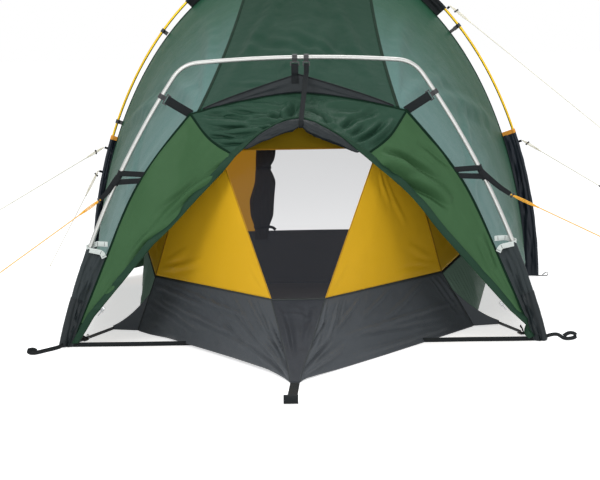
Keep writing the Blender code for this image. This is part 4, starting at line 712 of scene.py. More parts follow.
FINISHES = {
    # Painted sheen: the roof's front colour, paler towards the foot hoop, stands in for reflection on the
    # glossy cloth.
    "fly_green": woven("fly_roof_cloth", srgb(20, 52, 37), 0.46, ripstop=0.006, front=srgb(29, 63, 49),
                       gloss=0.02),
    # Painted reflection: the side cloth's own colour is dark green, and its teal front colour towards the
    # foot hoop stands in for the sheen on its glossy face.
    "fly_teal": woven("fly_side_cloth", srgb(38, 78, 58), 0.44, ripstop=0.006, front=srgb(92, 126, 122),
                      gloss=0.03),
    "hood_green": woven("hood_cloth", srgb(58, 92, 59), 0.42, ripstop=0.006),
    # Painted shade: the gathered middle is a darker, cooler copy of the hood cloth, standing in for the shade
    # it lies in.
    "hood_shade": woven("hood_middle_cloth", srgb(37, 67, 52), 0.40, ripstop=0.006, gloss=0.12),
    "toe_green": woven("hood_toe_cloth", srgb(34, 62, 46), 0.44, ripstop=0.006),
    "hem_green": woven("hem_band_cloth", srgb(34, 61, 46), 0.42, gloss=0.08),
    "seam_green": woven("felled_seam_cloth", srgb(17, 40, 28), 0.55, gloss=0.02),
    "navy": woven("main_sleeve_cloth", srgb(22, 30, 40), gloss=0.3),
    "grey": woven("foot_sleeve_cloth", srgb(46, 53, 55), 0.52, gloss=0.15),
    "roll": woven("rolled_hatch_cloth", srgb(25, 32, 35), 0.44, gloss=0.25),
    # Painted light: the yellow cloth glows a little, standing in for daylight through it.
    "yellow": woven("inner_cloth", srgb(218, 170, 30), ripstop=0.0055, variation=0.05, glow=0.08, gloss=0.15),
    # Painted shade: a darker copy of the yellow cloth for the front's top panel, which lies in shade under
    # the hood.
    "painted_shade_yellow": woven("inner_top_cloth", srgb(150, 122, 22), ripstop=0.0055, variation=0.05),
    # Painted light and shade: the head wall is a darker copy of the yellow cloth that glows strongly,
    # standing in for daylight shining through it from behind.
    "head_yellow": woven("head_wall_cloth", srgb(206, 150, 26), ripstop=0.0055, variation=0.05, glow=0.60),
    "seam_yellow": woven("inner_seam_cloth", srgb(172, 124, 16), 0.6, variation=0.05, gloss=0.3),
    "netting": woven("mosquito_netting", srgb(58, 60, 66), 0.8, pitch=0.0014, relief=0.02, variation=0.02,
                     alpha=0.42, gloss=0.0),
    # Painted light: the groundsheet glows a little, lifting its shaded inside.
    "floor": woven("groundsheet_cloth", srgb(70, 74, 78), 0.46, relief=0.4, glow=0.14),
    "gore": woven("prow_gore_cloth", srgb(50, 53, 58), 0.46, relief=0.4),
    # Painted light: the groundsheet's side walls glow, standing in for daylight through them and lifting
    # their shade.
    "side_wall": woven("inner_skirt_cloth", srgb(88, 108, 96), relief=0.4, glow=0.26),
    "dark_cloth": woven("inner_door_cloth", srgb(58, 62, 62), 0.60),
    "black": webbed("black_webbing_weave", srgb(26, 30, 32)),
    "tape": webbed("reflective_tape_weave", srgb(214, 222, 218), 0.42, variation=0.06),
    "orange": webbed("orange_binding_weave", srgb(255, 170, 66), variation=0.08),
    "silver": metal("silver_tube", srgb(184, 185, 182), 0.42, metallic=0.8),
    "gold": metal("gold_tube", srgb(232, 190, 40), 0.30, metallic=0.75),
    "plastic": moulded("black_moulding", srgb(30, 31, 33)),
    "zinc": metal("zinc_slider", srgb(176, 178, 180), 0.38),
    "pale_cord": braided("pale_cord_braid", srgb(255, 250, 232), srgb(246, 236, 208)),
    "orange_cord": braided("orange_cord_braid", srgb(244, 184, 50), srgb(236, 156, 30)),
}


# Making meshes

def linked(name, data):
    """A new object in the scene."""
    thing = bpy.data.objects.new(name, data)
    bpy.context.scene.collection.objects.link(thing)
    return thing


def settle(name, mesh, finish, sharp):
    """One piece on the tent's own body, smooth but for its sharp edges."""
    kinds = [finish] if isinstance(finish, str) else list(finish)
    for kind in kinds:
        mesh.materials.append(FINISHES[kind])
    mesh.shade_smooth()
    mesh.set_sharp_from_angle(angle=math.radians(sharp))
    thing = linked(name, mesh)
    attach(thing, ROOT)
    return thing


def build_mesh(name, bodies, merge, outward=False):
    """One mesh from bodies, each with points, faces, a UV point for each point and a material number."""
    made = bmesh.new()
    layer = made.loops.layers.uv.new("UVMap")
    for points, faces, marks, number in bodies:
        corners = [made.verts.new(tuple(p)) for p in points]
        for face in faces:
            built = made.faces.new([corners[i] for i in face])
            built.material_index = number
            for loop, i in zip(built.loops, face):
                loop[layer].uv = marks[i]
    bmesh.ops.remove_doubles(made, verts=made.verts, dist=merge)
    if outward:
        bmesh.ops.recalc_face_normals(made, faces=made.faces)
    mesh = bpy.data.meshes.new(name)
    made.to_mesh(mesh)
    made.free()
    return mesh


def patch(bottom, top, front, back):
    """Grid of points between four edges: rows run from bottom to top, columns from front to back."""
    bottom, top, front, back = (np.asarray(e, dtype=float) for e in (bottom, top, front, back))
    u = np.linspace(0, 1, len(bottom))[None, :, None]
    v = np.linspace(0, 1, len(front))[:, None, None]
    across = (1 - u) * front[:, None] + u * back[:, None]
    along = (1 - v) * bottom[None] + v * top[None]
    corners = ((1 - u) * (1 - v) * bottom[0] + u * (1 - v) * bottom[-1]
               + (1 - u) * v * top[0] + u * v * top[-1])
    return across + along - corners


def between_lines(front, back, cols):
    """Grid between a front and a back line, with straight edges below and above."""
    return patch(straight(front[0], back[0], cols), straight(front[-1], back[-1], cols), front, back)


def stood_on(bottom, top, rows):
    """Grid between a lower and an upper line, with straight edges at its ends."""
    return patch(bottom, top, straight(bottom[0], top[0], rows), straight(bottom[-1], top[-1], rows))


def size_of(grid):
    """Length of a grid's middle row and of its middle column."""
    middle, column = grid[len(grid) // 2], grid[:, grid.shape[1] // 2]
    return run_of(middle)[-1], run_of(column)[-1]


def normals_of(grid, hint):
    """Outward direction at each point of a grid; hint is roughly outward."""
    normals = units(np.cross(np.gradient(grid, axis=1), np.gradient(grid, axis=0)))
    if float((normals @ np.asarray(hint, dtype=float)).mean()) < 0:
        normals = -normals
    return normals


def shares_of(grid):
    rows, cols = grid.shape[:2]
    return np.meshgrid(np.linspace(0, 1, cols), np.linspace(0, 1, rows))


def creased(grid, hint, creases, rough, scale, stretch=(1.0, 1.0), seed=1, hold=12.0):
    """The grid with its cloth raised into creases, each (u0, v0, u1, v1, width, height), and soft unevenness.

    The edges stay on their lines.
    """
    u, v = shares_of(grid)
    wide, high = size_of(grid)
    x, y = u * wide, v * high
    height = np.zeros_like(u)
    for u0, v0, u1, v1, width, rise in creases:
        start, end = vec(u0 * wide, v0 * high), vec(u1 * wide, v1 * high)
        along = end - start
        length = float(np.hypot(*along))
        share = ((x - start[0]) * along[0] + (y - start[1]) * along[1]) / length ** 2
        aside = ((x - start[0]) * along[1] - (y - start[1]) * along[0]) / length
        aside = aside + 0.25 * width * soft_noise(x / 0.05, y / 0.05, seed + 7)
        fade = np.sin(np.pi * np.clip(share, 0, 1)) ** 0.7
        across = np.abs(aside) / width
        height += rise * fade * (np.exp(-across ** 1.6) - 0.45 * np.exp(-((across - 1.7) / 0.8) ** 2))
    p, q = x / (scale * stretch[0]), y / (scale * stretch[1])
    height += rough * (soft_noise(p, q, seed) + 0.5 * soft_noise(2.1 * p, 2.1 * q, seed + 1)
                       + 0.25 * soft_noise(4.3 * p, 4.3 * q, seed + 2))
    for distance in (x, wide - x, y, high - y):
        height *= np.clip(distance * hold, 0, 1)
    return grid + normals_of(grid, hint) * height[..., None]


def quads(rows, cols, flip):
    faces = []
    for j in range(rows - 1):
        for i in range(cols - 1):
            face = (j * cols + i, j * cols + i + 1, (j + 1) * cols + i + 1, (j + 1) * cols + i)
            faces.append(face[::-1] if flip else face)
    return faces


def grid_body(grid, hint, number, lift):
    """A grid of cloth as one body of a mesh, with its UV points in metres along its threads."""
    rows, cols = grid.shape[:2]
    normals = normals_of(grid, hint)
    u, v = shares_of(grid)
    wide, high = size_of(grid)
    raw = np.cross(np.gradient(grid, axis=1), np.gradient(grid, axis=0))
    flip = float((raw * normals).sum()) < 0
    points = (grid + normals * lift).reshape(-1, 3)
    marks = np.stack([u * wide, v * high], axis=-1).reshape(-1, 2)
    return points, quads(rows, cols, flip), marks, number


def cloth(name, grids, finish, hints, thick=THIN, lift=LIFT, numbers=None, merge=0.0004):
    """Panels of cloth sewn into one piece."""
    numbers = numbers or [0] * len(grids)
    bodies = [grid_body(g, h, n, lift) for g, h, n in zip(grids, hints, numbers)]
    panel = settle(name, build_mesh(name, bodies, merge), finish, sharp=75.0)
    if thick:
        shell = panel.modifiers.new("thickness", "SOLIDIFY")
        shell.thickness = thick
        shell.offset = 0.0
    return panel


def lines_from(grid, edge):
    """A grid's lines that run inward from one of its edges."""
    return {"front": grid, "back": grid[:, ::-1], "bottom": grid.transpose(1, 0, 2),
            "top": grid[::-1].transpose(1, 0, 2)}[edge]


def strip_of(grid, edge, width):
    """The strip of a grid's cloth along one of its edges, from the edge inward."""
    strip = []
    for line in lines_from(grid, edge):
        run = run_of(line)
        strip.append(at_marks(line, run, np.linspace(0, min(width, run[-1] * 0.98), 3)))
    return np.array(strip)


def piping(name, grid, edge, hint, width, thick, finish, shift=0.0, widths=None):
    """Rounded binding along one edge of a grid's cloth, lying on its outer face."""
    normals = lines_from(normals_of(grid, hint), edge)[:, 0]
    rings = []
    for i, (line, normal) in enumerate(zip(lines_from(grid, edge), normals)):
        wide = width if widths is None else widths[i]
        into = unit(line[2] - line[0])
        into = unit(into - normal * np.dot(into, normal))
        centre = line[0] + into * (wide / 2 + shift) + normal * thick * 0.35
        rings.append(ring_of(centre, into * wide / 2, normal * thick / 2, round_angles(14)))
    return swept(name, rings, finish, sharp=70.0)


def swept(name, rings, finish, closed=False, sharp=50.0):
    """A piece through rings of equal count, with UV points in metres round and along it, capped if open."""
    rings = np.asarray(rings, dtype=float)
    spans, count = rings.shape[:2]
    run = np.linspace(0, 1, spans) if closed else run_of(rings.mean(axis=1))
    middle = rings[spans // 2]
    round_it = run_of(np.vstack([middle, middle[:1]]))
    points = [ring[j % count] for ring in rings for j in range(count + 1)]
    marks = [(round_it[j], run[i]) for i in range(spans) for j in range(count + 1)]
    faces = []
    for i in range(spans if closed else spans - 1):
        here, there = i * (count + 1), ((i + 1) % spans) * (count + 1)
        for j in range(count):
            faces.append((here + j, here + j + 1, there + j + 1, there + j))
    if not closed:
        faces.append(tuple(range(count))[::-1])
        faces.append(tuple((spans - 1) * (count + 1) + j for j in range(count)))
    mesh = build_mesh(name, [(points, faces, marks, 0)], merge=0.00001, outward=True)
    return settle(name, mesh, finish, sharp)


def frames_along(path, side):
    """Across and up directions along a path, with across as near to side as it can be."""
    along = tangents(path)
    side = np.broadcast_to(np.asarray(side, dtype=float), along.shape)
    across = units(side - along * (side * along).sum(axis=1, keepdims=True))
    return across, np.cross(along, across)


def strap(name, path, width, side, finish="black", thick=WEBBING, widths=None, step=0.004):
    """Webbing along a path, with a rounded edge, and its width along side."""
    path = np.asarray(path, dtype=float)
    run = run_of(path)
    count = max(6, int(run[-1] / step))
    marks = np.linspace(0, run[-1], count)
    fine = at_marks(path, run, marks)
    wide = np.full(count, width) if widths is None else np.interp(marks, run, widths)
    across, up = frames_along(fine, side if np.ndim(side) == 1 else at_marks(np.asarray(side), run, marks))
    t = thick / 2
    rings = []
    for point, a, n, w in zip(fine, across, up, wide):
        half = w / 2
        outline = [(-half, -0.4 * t), (-half, 0.4 * t), (-half + 0.8 * t, t), (half - 0.8 * t, t),
                   (half, 0.4 * t), (half, -0.4 * t), (half - 0.8 * t, -t), (-half + 0.8 * t, -t)]
        rings.append([point + a * x + n * y for x, y in outline])
    return swept(name, rings, finish, sharp=60.0)


def tube(name, path, radii, finish, sides, across=(0, 1, 0)):
    """A round bar along a path."""
    path = np.asarray(path, dtype=float)
    radii = np.broadcast_to(np.asarray(radii, dtype=float), (len(path),))
    rings = [ring_of(point, first, second, round_angles(sides), radius)
             for point, first, second, radius in zip(path, *frames_along(path, across), radii)]
    return swept(name, rings, finish)


# Cords

# Finish, far end, and distances from the tab to the lock and to the knot of the doubled part
GUYLINES = {
    "guyline_main_left": ("pale_cord", (-1.103, 0.5285, 0.274), 0.040, 0.085),
    "guyline_rear_left": ("pale_cord", (-1.023, 1.4165, 0.004), 0.026, 0.170),
    "guyline_foot_left": ("orange_cord", (-0.862, -0.9315, 0.223), 0.007, 0.080),
    "guyline_top_right": ("pale_cord", (1.050, 0.7785, 0.494), 0.028, 0.090),
    "guyline_main_right": ("pale_cord", (1.021, 0.5285, 0.320), 0.028, 0.100),
    "guyline_foot_right": ("orange_cord", (0.863, -0.9315, 0.3075), 0.007, 0.105),
}


def guyline_ends(name):
    """Centre of a guyline at its tab, and at its far end."""
    end = vec(*GUYLINES[name][1])
    if name in SLEEVE_TABS:
        spot, out = tab_ends(*SLEEVE_TABS[name])[1:]
    else:
        side = 1 if end[0] > 0 else -1
        spot = guy_ring(side)
        out = unit(spot - foot_hoop_at(sum(BAND_Z) / 2, side)[0])
    away = unit(end - spot)
    lean = math.sqrt(1 - float(np.dot(away, out)) ** 2)
    return spot + out * (SEWN + KNOT_SWELL * CORD_RADIUS * lean), end


def knot(name, centre, along, finish):
    """An overhand knot in a cord, drawn tight."""
    side = unit(np.cross(along, UP))
    up = np.cross(side, along)
    turns = round_angles(40)
    x = (np.sin(turns) + 2 * np.sin(2 * turns)) * 0.00095
    y = (np.cos(turns) - 2 * np.cos(2 * turns)) * 0.00075
    z = -np.sin(3 * turns) * 0.0012
    path = centre + x[:, None] * along + y[:, None] * side + z[:, None] * up
    ahead = units(np.roll(path, -1, axis=0) - np.roll(path, 1, axis=0))
    first = units(np.cross(ahead, vec(0.3, 0.2, 1.0)))
    second = np.cross(ahead, first)
    rings = [ring_of(p, a, b, round_angles(8), CORD_RADIUS * 0.9) for p, a, b in zip(path, first, second)]
    return swept(name, rings, finish, closed=True)


def toggle(name, centre, along):
    """Small moulded bar that the cord is threaded through, to set its length."""
    steps = np.array([-0.0085, -0.0075, -0.0045, -0.0015, 0.0015, 0.0045, 0.0075, 0.0085])
    radii = np.array([0.0016, 0.0030, 0.0034, 0.0026, 0.0026, 0.0034, 0.0030, 0.0016])
    across = unit(np.cross(along, vec(0, 1, 0)) + 0.3 * along)
    return tube(name, centre + steps[:, None] * across, radii, "plastic", 14, vec(0, 1, 0))


def guylines():
    """Taut guylines, doubled from their tabs to the knot."""
    for name, (finish, far_end, lock, tied) in GUYLINES.items():
        start, end = guyline_ends(name)
        length = float(np.linalg.norm(end - start))
        along = (end - start) / length
        curve = bpy.data.curves.new(name + "_line", "CURVE")
        curve.dimensions = "3D"
        curve.bevel_depth = CORD_RADIUS
        curve.bevel_resolution = 3
        curve.use_fill_caps = True
        marks = straight(start, end, CORD_POINTS)
        line = curve.splines.new("POLY")
        line.points.add(CORD_POINTS - 1)
        for point, mark in zip(line.points, marks):
            point.co = (*mark, 1.0)
        curve.materials.append(FINISHES[finish])
        cord = linked(name + "_line", curve)
        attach(cord, ROOT)
        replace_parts(cord, name)
        pieces = [toggle(name + "_lock", start + along * lock, along)]
        for number, mark in enumerate((FIRST_KNOT, tied, length - LAST_KNOT)):
            pieces.append(knot(f"{name}_knot_{number}", start + along * mark, along, finish))
        aside = unit(np.cross(along, vec(0, 1, 0)))
        share = np.linspace(0, 1, 14)[:, None]
        apart = STRAND_APART * (4 * share * (1 - share)) ** 0.6
        for sign in (-1, 1):
            loop = start + along * (FIRST_KNOT + (tied - FIRST_KNOT) * share) + aside * sign * apart
            pieces.append(tube(f"{name}_strand_{sign + 2}", loop, CORD_RADIUS * 0.8, finish, 8, (0, 1, 0.2)))
        if name == "guyline_main_right":
            pieces.append(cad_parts["line_tensioner"])


# Poles and sleeves

def poles():
    """Both hoops, with the short collars where their sections join."""
    hoops = (("foot_hoop_pole", foot_hoop(), FOOT_POLE_RADIUS, "silver", (0.235, 0.765)),
             ("main_hoop_pole", main_hoop(), MAIN_POLE_RADIUS, "gold", (0.30, 0.70)))
    for name, half, radius, finish, joints in hoops:
        path = resample(both_sides(half), 361)
        inside = path[path[:, 2] > POLE_FOOT_Z]
        made = tube(name + "_tube", inside, radius, finish, 24)
        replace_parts(made, name)
        run = run_of(path)
        for number, joint in enumerate(joints):
            stretch = path[np.abs(run - run[-1] * joint) < 0.018]
            swell = np.full(len(stretch), radius + 0.00035)
            swell[0] = swell[-1] = radius + 0.00005
            tube(f"{name}_collar_{number}", stretch, swell, finish, 24)


def sleeve_rings(path, inward, reaches, radius, waves, seed):
    """Rings round a pole that run in to the fly, with long soft pleats in the cloth."""
    around = np.radians(np.linspace(38, 322, 21))
    wall = radius + SLEEVE_SLACK + SLEEVE_WALL * 0.6
    near = wall * math.cos(around[0])
    shares = np.linspace(0, 1, 13)[1:]
    half = wall * math.sin(around[0]) * (1 - shares) ** 1.3 + 0.0008
    rings = []
    for point, step, inner, reach, at in zip(path, tangents(path), inward, reaches, run_of(path)):
        inner = unit(inner - step * np.dot(inner, step))
        across = np.cross(step, inner)
        ahead = point + np.outer(near + (max(reach, wall + 0.001) - near) * shares, inner)
        pleat = soft_noise(shares * 5.0 + at * 6, at / 0.09, seed + 3)
        pleat += 0.5 * soft_noise(shares * 9.0 - at * 9, at / 0.05, seed + 5)
        fold = waves * np.sin(np.pi * np.minimum(1.0, shares * 1.1 + 0.02)) * pleat
        swell = wall * (1 + 0.10 * soft_noise(around * 2, at / 0.03, seed))
        rings.append(np.vstack([(ahead + np.outer(half + fold, across))[::-1],
                                ring_of(point, inner, across, around, swell),
                                ahead + np.outer(fold - half, across)]))
    rings = np.array(rings)
    rings[..., 2] = np.maximum(rings[..., 2], 0.0005)
    return rings


def pocket(node, name, finish, leg, edge, side, radius, waves, seed):
    """Sleeve at the foot of a hoop's leg, with the fly's directions and distances along it."""
    leg[0, 2] = 0.001
    inner = np.array([inward_at(a, side) for a in tangents(leg)])
    reach = reach_to(leg, inner, edge)
    made = swept(name, sleeve_rings(leg, inner, reach, radius, waves, seed), finish, sharp=60.0)
    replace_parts(made, node)
    return inner, reach


def reach_to(path, inward, edge):
    """How far each point of a path is from an edge line, less the sewn gap."""
    distance = []
    for point, inner in zip(path, inward):
        away = edge - point
        ahead = away @ inner
        aside = np.linalg.norm(away - np.outer(ahead, inner), axis=1)
        distance.append(float(ahead[int(np.argmin(aside))]) - 0.0012)
    return distance


def sleeves():
    """Pockets at the feet of both hoops, their orange mouths and the sleeve over the top."""
    for side, word in WORDS.items():
        leg = leg_up_to(foot_hoop(), FOOT_SLEEVE_TOP, 110, side)
        inner, reach = pocket("foot_sleeve_" + word, "foot_pocket_cloth_" + word, "grey", leg,
                              ridge_leg(side, 200), side, FOOT_POLE_RADIUS, FOOT_PLEATS, 11 + side)
        low = int(np.argmax(leg[:, 2] > POCKET_CUFF_TOP))
        cuff = sleeve_rings(leg[:low], inner[:low], np.array(reach[:low]) * 0.98, FOOT_POLE_RADIUS + 0.0016,
                            FOOT_PLEATS, 11 + side)
        swept("foot_pocket_cuff_" + word, cuff, "roll", sharp=60.0)

        leg = leg_up_to(main_hoop(), MAIN_SLEEVE_TOP, 130, side)
        inner, reach = pocket("main_sleeve_" + word, "main_pocket_cloth_" + word, "navy", leg,
                              fly_arch(side, 200), side, MAIN_POLE_RADIUS, MAIN_PLEATS, 21 + side)
        along = unit(leg[-1] - leg[-2])
        mouth = straight(leg[-1] - along * 0.001, leg[-1] + along * TRIM_LENGTH, 5)
        rings = sleeve_rings(mouth, [inner[-1]] * 5, [reach[-1]] * 5, MAIN_POLE_RADIUS + 0.0009, 0.0, 3)
        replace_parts(swept("sleeve_mouth_" + word, rings, "orange"), "sleeve_trim_" + word)

    over = resample(both_sides(main_hoop()), 400)
    over = over[(over[:, 0] >= -APEX_SLEEVE_HALF[-1]) & (over[:, 0] <= APEX_SLEEVE_HALF[1])]
    inner = np.array([(a[2], 0, -a[0]) for a in tangents(over)])
    fly = np.vstack([fly_arch(-1, 200, last_x=0.002), fly_arch(1, 200, last_x=0.002)[::-1]])
    rings = sleeve_rings(over, inner, reach_to(over, inner, fly), MAIN_POLE_RADIUS, APEX_PLEATS, 31)
    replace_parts(swept("apex_sleeve_cloth", rings, "black", sharp=60.0), "apex_sleeve")
    for name, (side, height) in SLEEVE_TABS.items():
        start, end, out = tab_ends(side, height)
        strap(name + "_tab", straight(start, end, 3), SLEEVE_TAB_WIDTH, vec(-out[2], 0, out[0]), step=0.002)


def seam_strips(grid, roof, side):
    """Both halves of the seam between a side panel and the panel over the top."""
    edge = "bottom" if side < 0 else "top"
    return [strip_of(grid, "top", SEAM_BAND / 2), strip_of(roof, edge, SEAM_BAND / 2)]


# Fly, hood and vestibule

def fly_side_grid(side):
    """Cloth between the hoops on one side, from the hem up to the roof's seam."""
    fine, cols = 8, 80
    corner = RIDGE_CORNER[side]
    front = np.vstack([ridge_leg(side, 10 * fine + 1), straight(corner, seam_start(side), fine + 1)[1:]])
    back = fly_arch(side, len(front))
    share = np.linspace(0, 1, cols)
    hem = straight(front[0], back[0], cols)
    hem[:, 2] += HEM_RISE * 4 * share * (1 - share)
    return patch(hem, fly_seam(side, cols), front, back)


def fly_roof_grid():
    """Cloth over the top between the hoops, from the left seam to the right one."""
    rows, cols = 60, 80
    ridge = ridge_top(seam_start(-1)[0], seam_start(1)[0], rows)
    return patch(fly_seam(-1, cols), fly_seam(1, cols), ridge, fly_top_arch(rows))


# Creases: start and end as shares of the panel, then width and height in metres
SIDE_CREASES = (
    (0.00, 0.50, 0.60, 0.62, 0.022, 0.009),
    (0.00, 0.56, 0.55, 0.44, 0.020, 0.008),
    (0.02, 0.93, 0.60, 0.70, 0.024, 0.010),
    (0.02, 0.97, 0.80, 0.86, 0.026, 0.010),
    (0.25, 0.80, 0.95, 0.40, 0.030, 0.010),
    (0.05, 0.28, 0.70, 0.22, 0.024, 0.008),
    (0.15, 0.10, 0.90, 0.10, 0.026, 0.008),
)
ROOF_CREASES = (
    (0.00, 0.50, 0.60, 0.28, 0.024, 0.009),
    (0.00, 0.50, 0.60, 0.74, 0.024, 0.009),
    (0.00, 0.48, 0.75, 0.40, 0.022, 0.008),
    (0.00, 0.04, 0.75, 0.30, 0.022, 0.009),
    (0.00, 0.96, 0.75, 0.68, 0.022, 0.009),
    (0.10, 0.52, 0.95, 0.58, 0.040, 0.008),
    (0.43, 0.10, 0.20, 0.62, 0.022, -0.006),
    (0.44, 0.36, 0.22, 0.84, 0.022, 0.006),
    (0.14, 0.12, 0.04, 0.46, 0.016, 0.004),
)


def fly():
    """Canopy between the hoops, one sheet of three panels, with its felled seams."""
    hints = [(-1, 0, 0.3), (1, 0, 0.3), (0, 0, 1)]
    grids = [creased(fly_side_grid(side), hint, SIDE_CREASES, 0.0035, 0.22, (1, 1.6), 5 + side)
             for side, hint in zip(WORDS, hints)]
    grids.append(creased(fly_roof_grid(), hints[2], ROOF_CREASES, 0.003, 0.22, seed=9))
    canopy = cloth("fly_canopy", grids, ("fly_teal", "fly_green"), hints, numbers=[0, 0, 1])
    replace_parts(canopy, "fly_side_left", "fly_side_right", "fly_roof")
    for (side, word), grid, hint in zip(WORDS.items(), grids, hints):
        cloth("fly_seam_" + word, seam_strips(grid, grids[2], side), "seam_green",
                           [(side * 0.4, 0, 1)] * 2, SEAM_THICK, 0.0014)
        cloth("fly_hem_" + word, [strip_of(grid, "bottom", HEM_WIDTH)], "fly_teal", [hint],
                           HEM_THICK, HEM_THICK)
    arch = np.vstack([fly_arch(-1, 120), fly_top_arch(60)[1:-1], fly_arch(1, 120)[::-1]])
    arch = resample(smooth_line(resample(arch, 40), 6), 240)
    tube("hoop_seam", arch, 0.0034, "seam_green", 10, (0, 1, 0))


# Bindings of the hood's sides: name, edge, width, thickness, finish and shift
HOOD_TRIMS = (
    ("hatch_hem_", "back", HEM_BAND, HEM_ROLL, "hem_green", 0.0),
    ("hood_seam_", "top", 0.007, 0.0030, "seam_green", -0.0035),
    ("ridge_seam_", "front", 0.008, 0.0034, "seam_green", -0.002),
)
HOOD_CREASES = {
    -1: (
        (0.990, 0.98, 0.740, 0.60, 0.011, 0.014),
        (1.000, 0.90, 0.780, 0.52, 0.008, -0.012),
        (0.999, 0.82, 0.720, 0.44, 0.010, 0.010),
        (0.990, 0.70, 0.760, 0.36, 0.010, -0.008),
        (0.985, 1.00, 0.820, 0.78, 0.006, -0.008),
        (0.960, 0.97, 0.640, 0.66, 0.008, -0.009),
        (0.119, 0.975, 0.847, 0.607, 0.034, -0.010),
        (0.508, 0.100, 0.932, 0.190, 0.008, -0.008),
        (0.700, 0.220, 1.0, 0.330, 0.011, 0.006),
    ),
    1: (
        (0.240, 0.900, 0.051, 0.724, 0.007, -0.008),
        (0.831, 0.950, 0.430, 0.640, 0.013, 0.020),
        (0.966, 0.900, 0.560, 0.620, 0.008, -0.015),
        (0.700, 0.980, 0.400, 0.740, 0.008, -0.012),
        (0.847, 0.971, 0.627, 0.828, 0.011, 0.010),
        (0.950, 0.930, 0.700, 0.800, 0.007, -0.008),
        (0.480, 0.900, 0.847, 0.711, 0.024, -0.006),
        (0.373, 0.310, 0.254, 0.456, 0.012, 0.007),
    ),
}
HOOD_MIDDLE_CREASES = (
    (0.180, 0.500, 0.960, 0.430, 0.012, -0.015),
    (0.360, 0.300, 0.960, 0.440, 0.010, -0.012),
    (0.300, 0.470, 0.900, 0.380, 0.008, 0.008),
    (0.424, 0.000, 0.898, 0.221, 0.007, -0.014),
    (0.850, 0.200, 1.000, 0.337, 0.007, -0.012),
    (0.500, 0.200, 1.000, 0.362, 0.007, -0.011),
    (0.169, 0.160, 0.440, 0.370, 0.008, -0.010),
    (0.034, 0.030, 0.400, 0.240, 0.008, -0.010),
    (0.356, 0.216, 0.620, 0.360, 0.007, -0.010),
    (0.644, 0.000, 1.000, 0.141, 0.007, -0.011),
    (0.322, 0.030, 0.644, 0.226, 0.007, -0.011),
    (0.627, 0.040, 1.000, 0.241, 0.006, -0.009),
    (0.460, 0.530, 0.720, 0.700, 0.008, -0.014),
    (0.119, 0.884, 0.450, 0.784, 0.010, -0.011),
    (0.380, 0.790, 0.760, 0.765, 0.010, -0.012),
    (0.200, 0.970, 0.831, 0.940, 0.009, 0.012),
    (0.300, 0.940, 0.900, 0.890, 0.008, -0.010),
    (0.320, 0.640, 0.153, 0.870, 0.012, -0.008),
    (0.831, 0.834, 0.475, 0.864, 0.008, -0.009),
    (0.600, 0.600, 0.950, 0.760, 0.010, -0.007),
)


def hood_grids():
    """Cloth of the hood: left side, right side and the middle."""
    grids = {}
    for side in WORDS:
        rows, cols = 240, 60
        outer, inner = ridge_leg(side, rows), hatch_side(side, rows)
        grids[side] = patch(straight(outer[0], inner[0], cols), hood_seam(side, cols), outer, inner)
    rows, cols = 200, 60
    ridge = ridge_top(RIDGE_CORNER[-1][0], RIDGE_CORNER[1][0], rows)
    grids[0] = patch(hood_seam(-1, cols), hood_seam(1, cols), ridge, hatch_top(rows))
    return grids


def hood_middle_folds(grid):
    """The hood's gathered middle, crinkled right of the strap."""
    u, v = shares_of(grid)
    x, z = grid[..., 0], grid[..., 2]
    crinkle = soft_noise(x / 0.011, z / 0.008, 44) * np.exp(-((x - 0.055) / 0.045) ** 2)
    gather = np.sin(2 * np.pi * (z + 0.05 * x) / 0.019 + 2.6 * soft_noise(x / 0.06, z / 0.03, 41))
    height = 0.0026 * crinkle + 0.0030 * gather / (1 + np.exp((x + 0.03) / 0.03))
    height *= np.clip(np.minimum(u, 1 - u) * 8, 0, 1) * np.clip(np.minimum(v, 1 - v) * 14, 0, 1)
    return grid + normals_of(grid, (0, -1, 1)) * height[..., None]


def hood():
    """Hood round the open hatch, with the rolled hem along the hatch's edge."""
    base = hood_grids()
    hints = [(-1, -1, 0.6), (1, -1, 0.6), (0, -1, 1)]
    grids = [creased(base[side], hint, HOOD_CREASES[side], 0.0030, 0.07, (0.6, 3.0), 51 + side, 150.0)
             for side, hint in zip(WORDS, hints)]
    middle = hood_middle_folds(base[0])
    grids.append(creased(middle, hints[2], HOOD_MIDDLE_CREASES, 0.002, 0.04, seed=61, hold=90.0))
    toe = int(np.argmax(grids[0][:, :, 2].mean(axis=1) > HOOD_TOE_TOP))
    panels = [grids[0][toe:], grids[1][toe:], grids[2], grids[0][:toe + 1], grids[1][:toe + 1]]
    # The gathered middle takes the darker hood cloth, a painted shade.
    made = cloth("hood_cloth", panels, ("hood_green", "hood_shade", "toe_green"), hints + hints[:2],
                 numbers=[0, 0, 1, 2, 2])
    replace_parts(made, "hood_left", "hood_right", "hood_centre")
    for word, grid, hint in zip(WORDS.values(), grids, hints):
        piping("toe_seam_" + word, grid[toe:], "bottom", hint, 0.004, 0.002, "seam_green")
        for kind, edge, width, thick, finish, shift in HOOD_TRIMS:
            piping(kind + word, grid, edge, hint, width, thick, finish, shift)
    v = np.linspace(-1, 1, grids[2].shape[0])
    widths = HEM_BAND * (0.28 + 0.72 * np.clip((np.abs(v) - 0.55) / 0.4, 0, 1))
    piping("hatch_hem_middle", grids[2], "back", hints[2], HEM_BAND, HEM_ROLL, "hem_green", 0.0,
                        widths)
    piping("ridge_seam_middle", grids[2], "front", hints[2], 0.006, 0.003, "seam_green", -0.001)
    rolled_hatch()


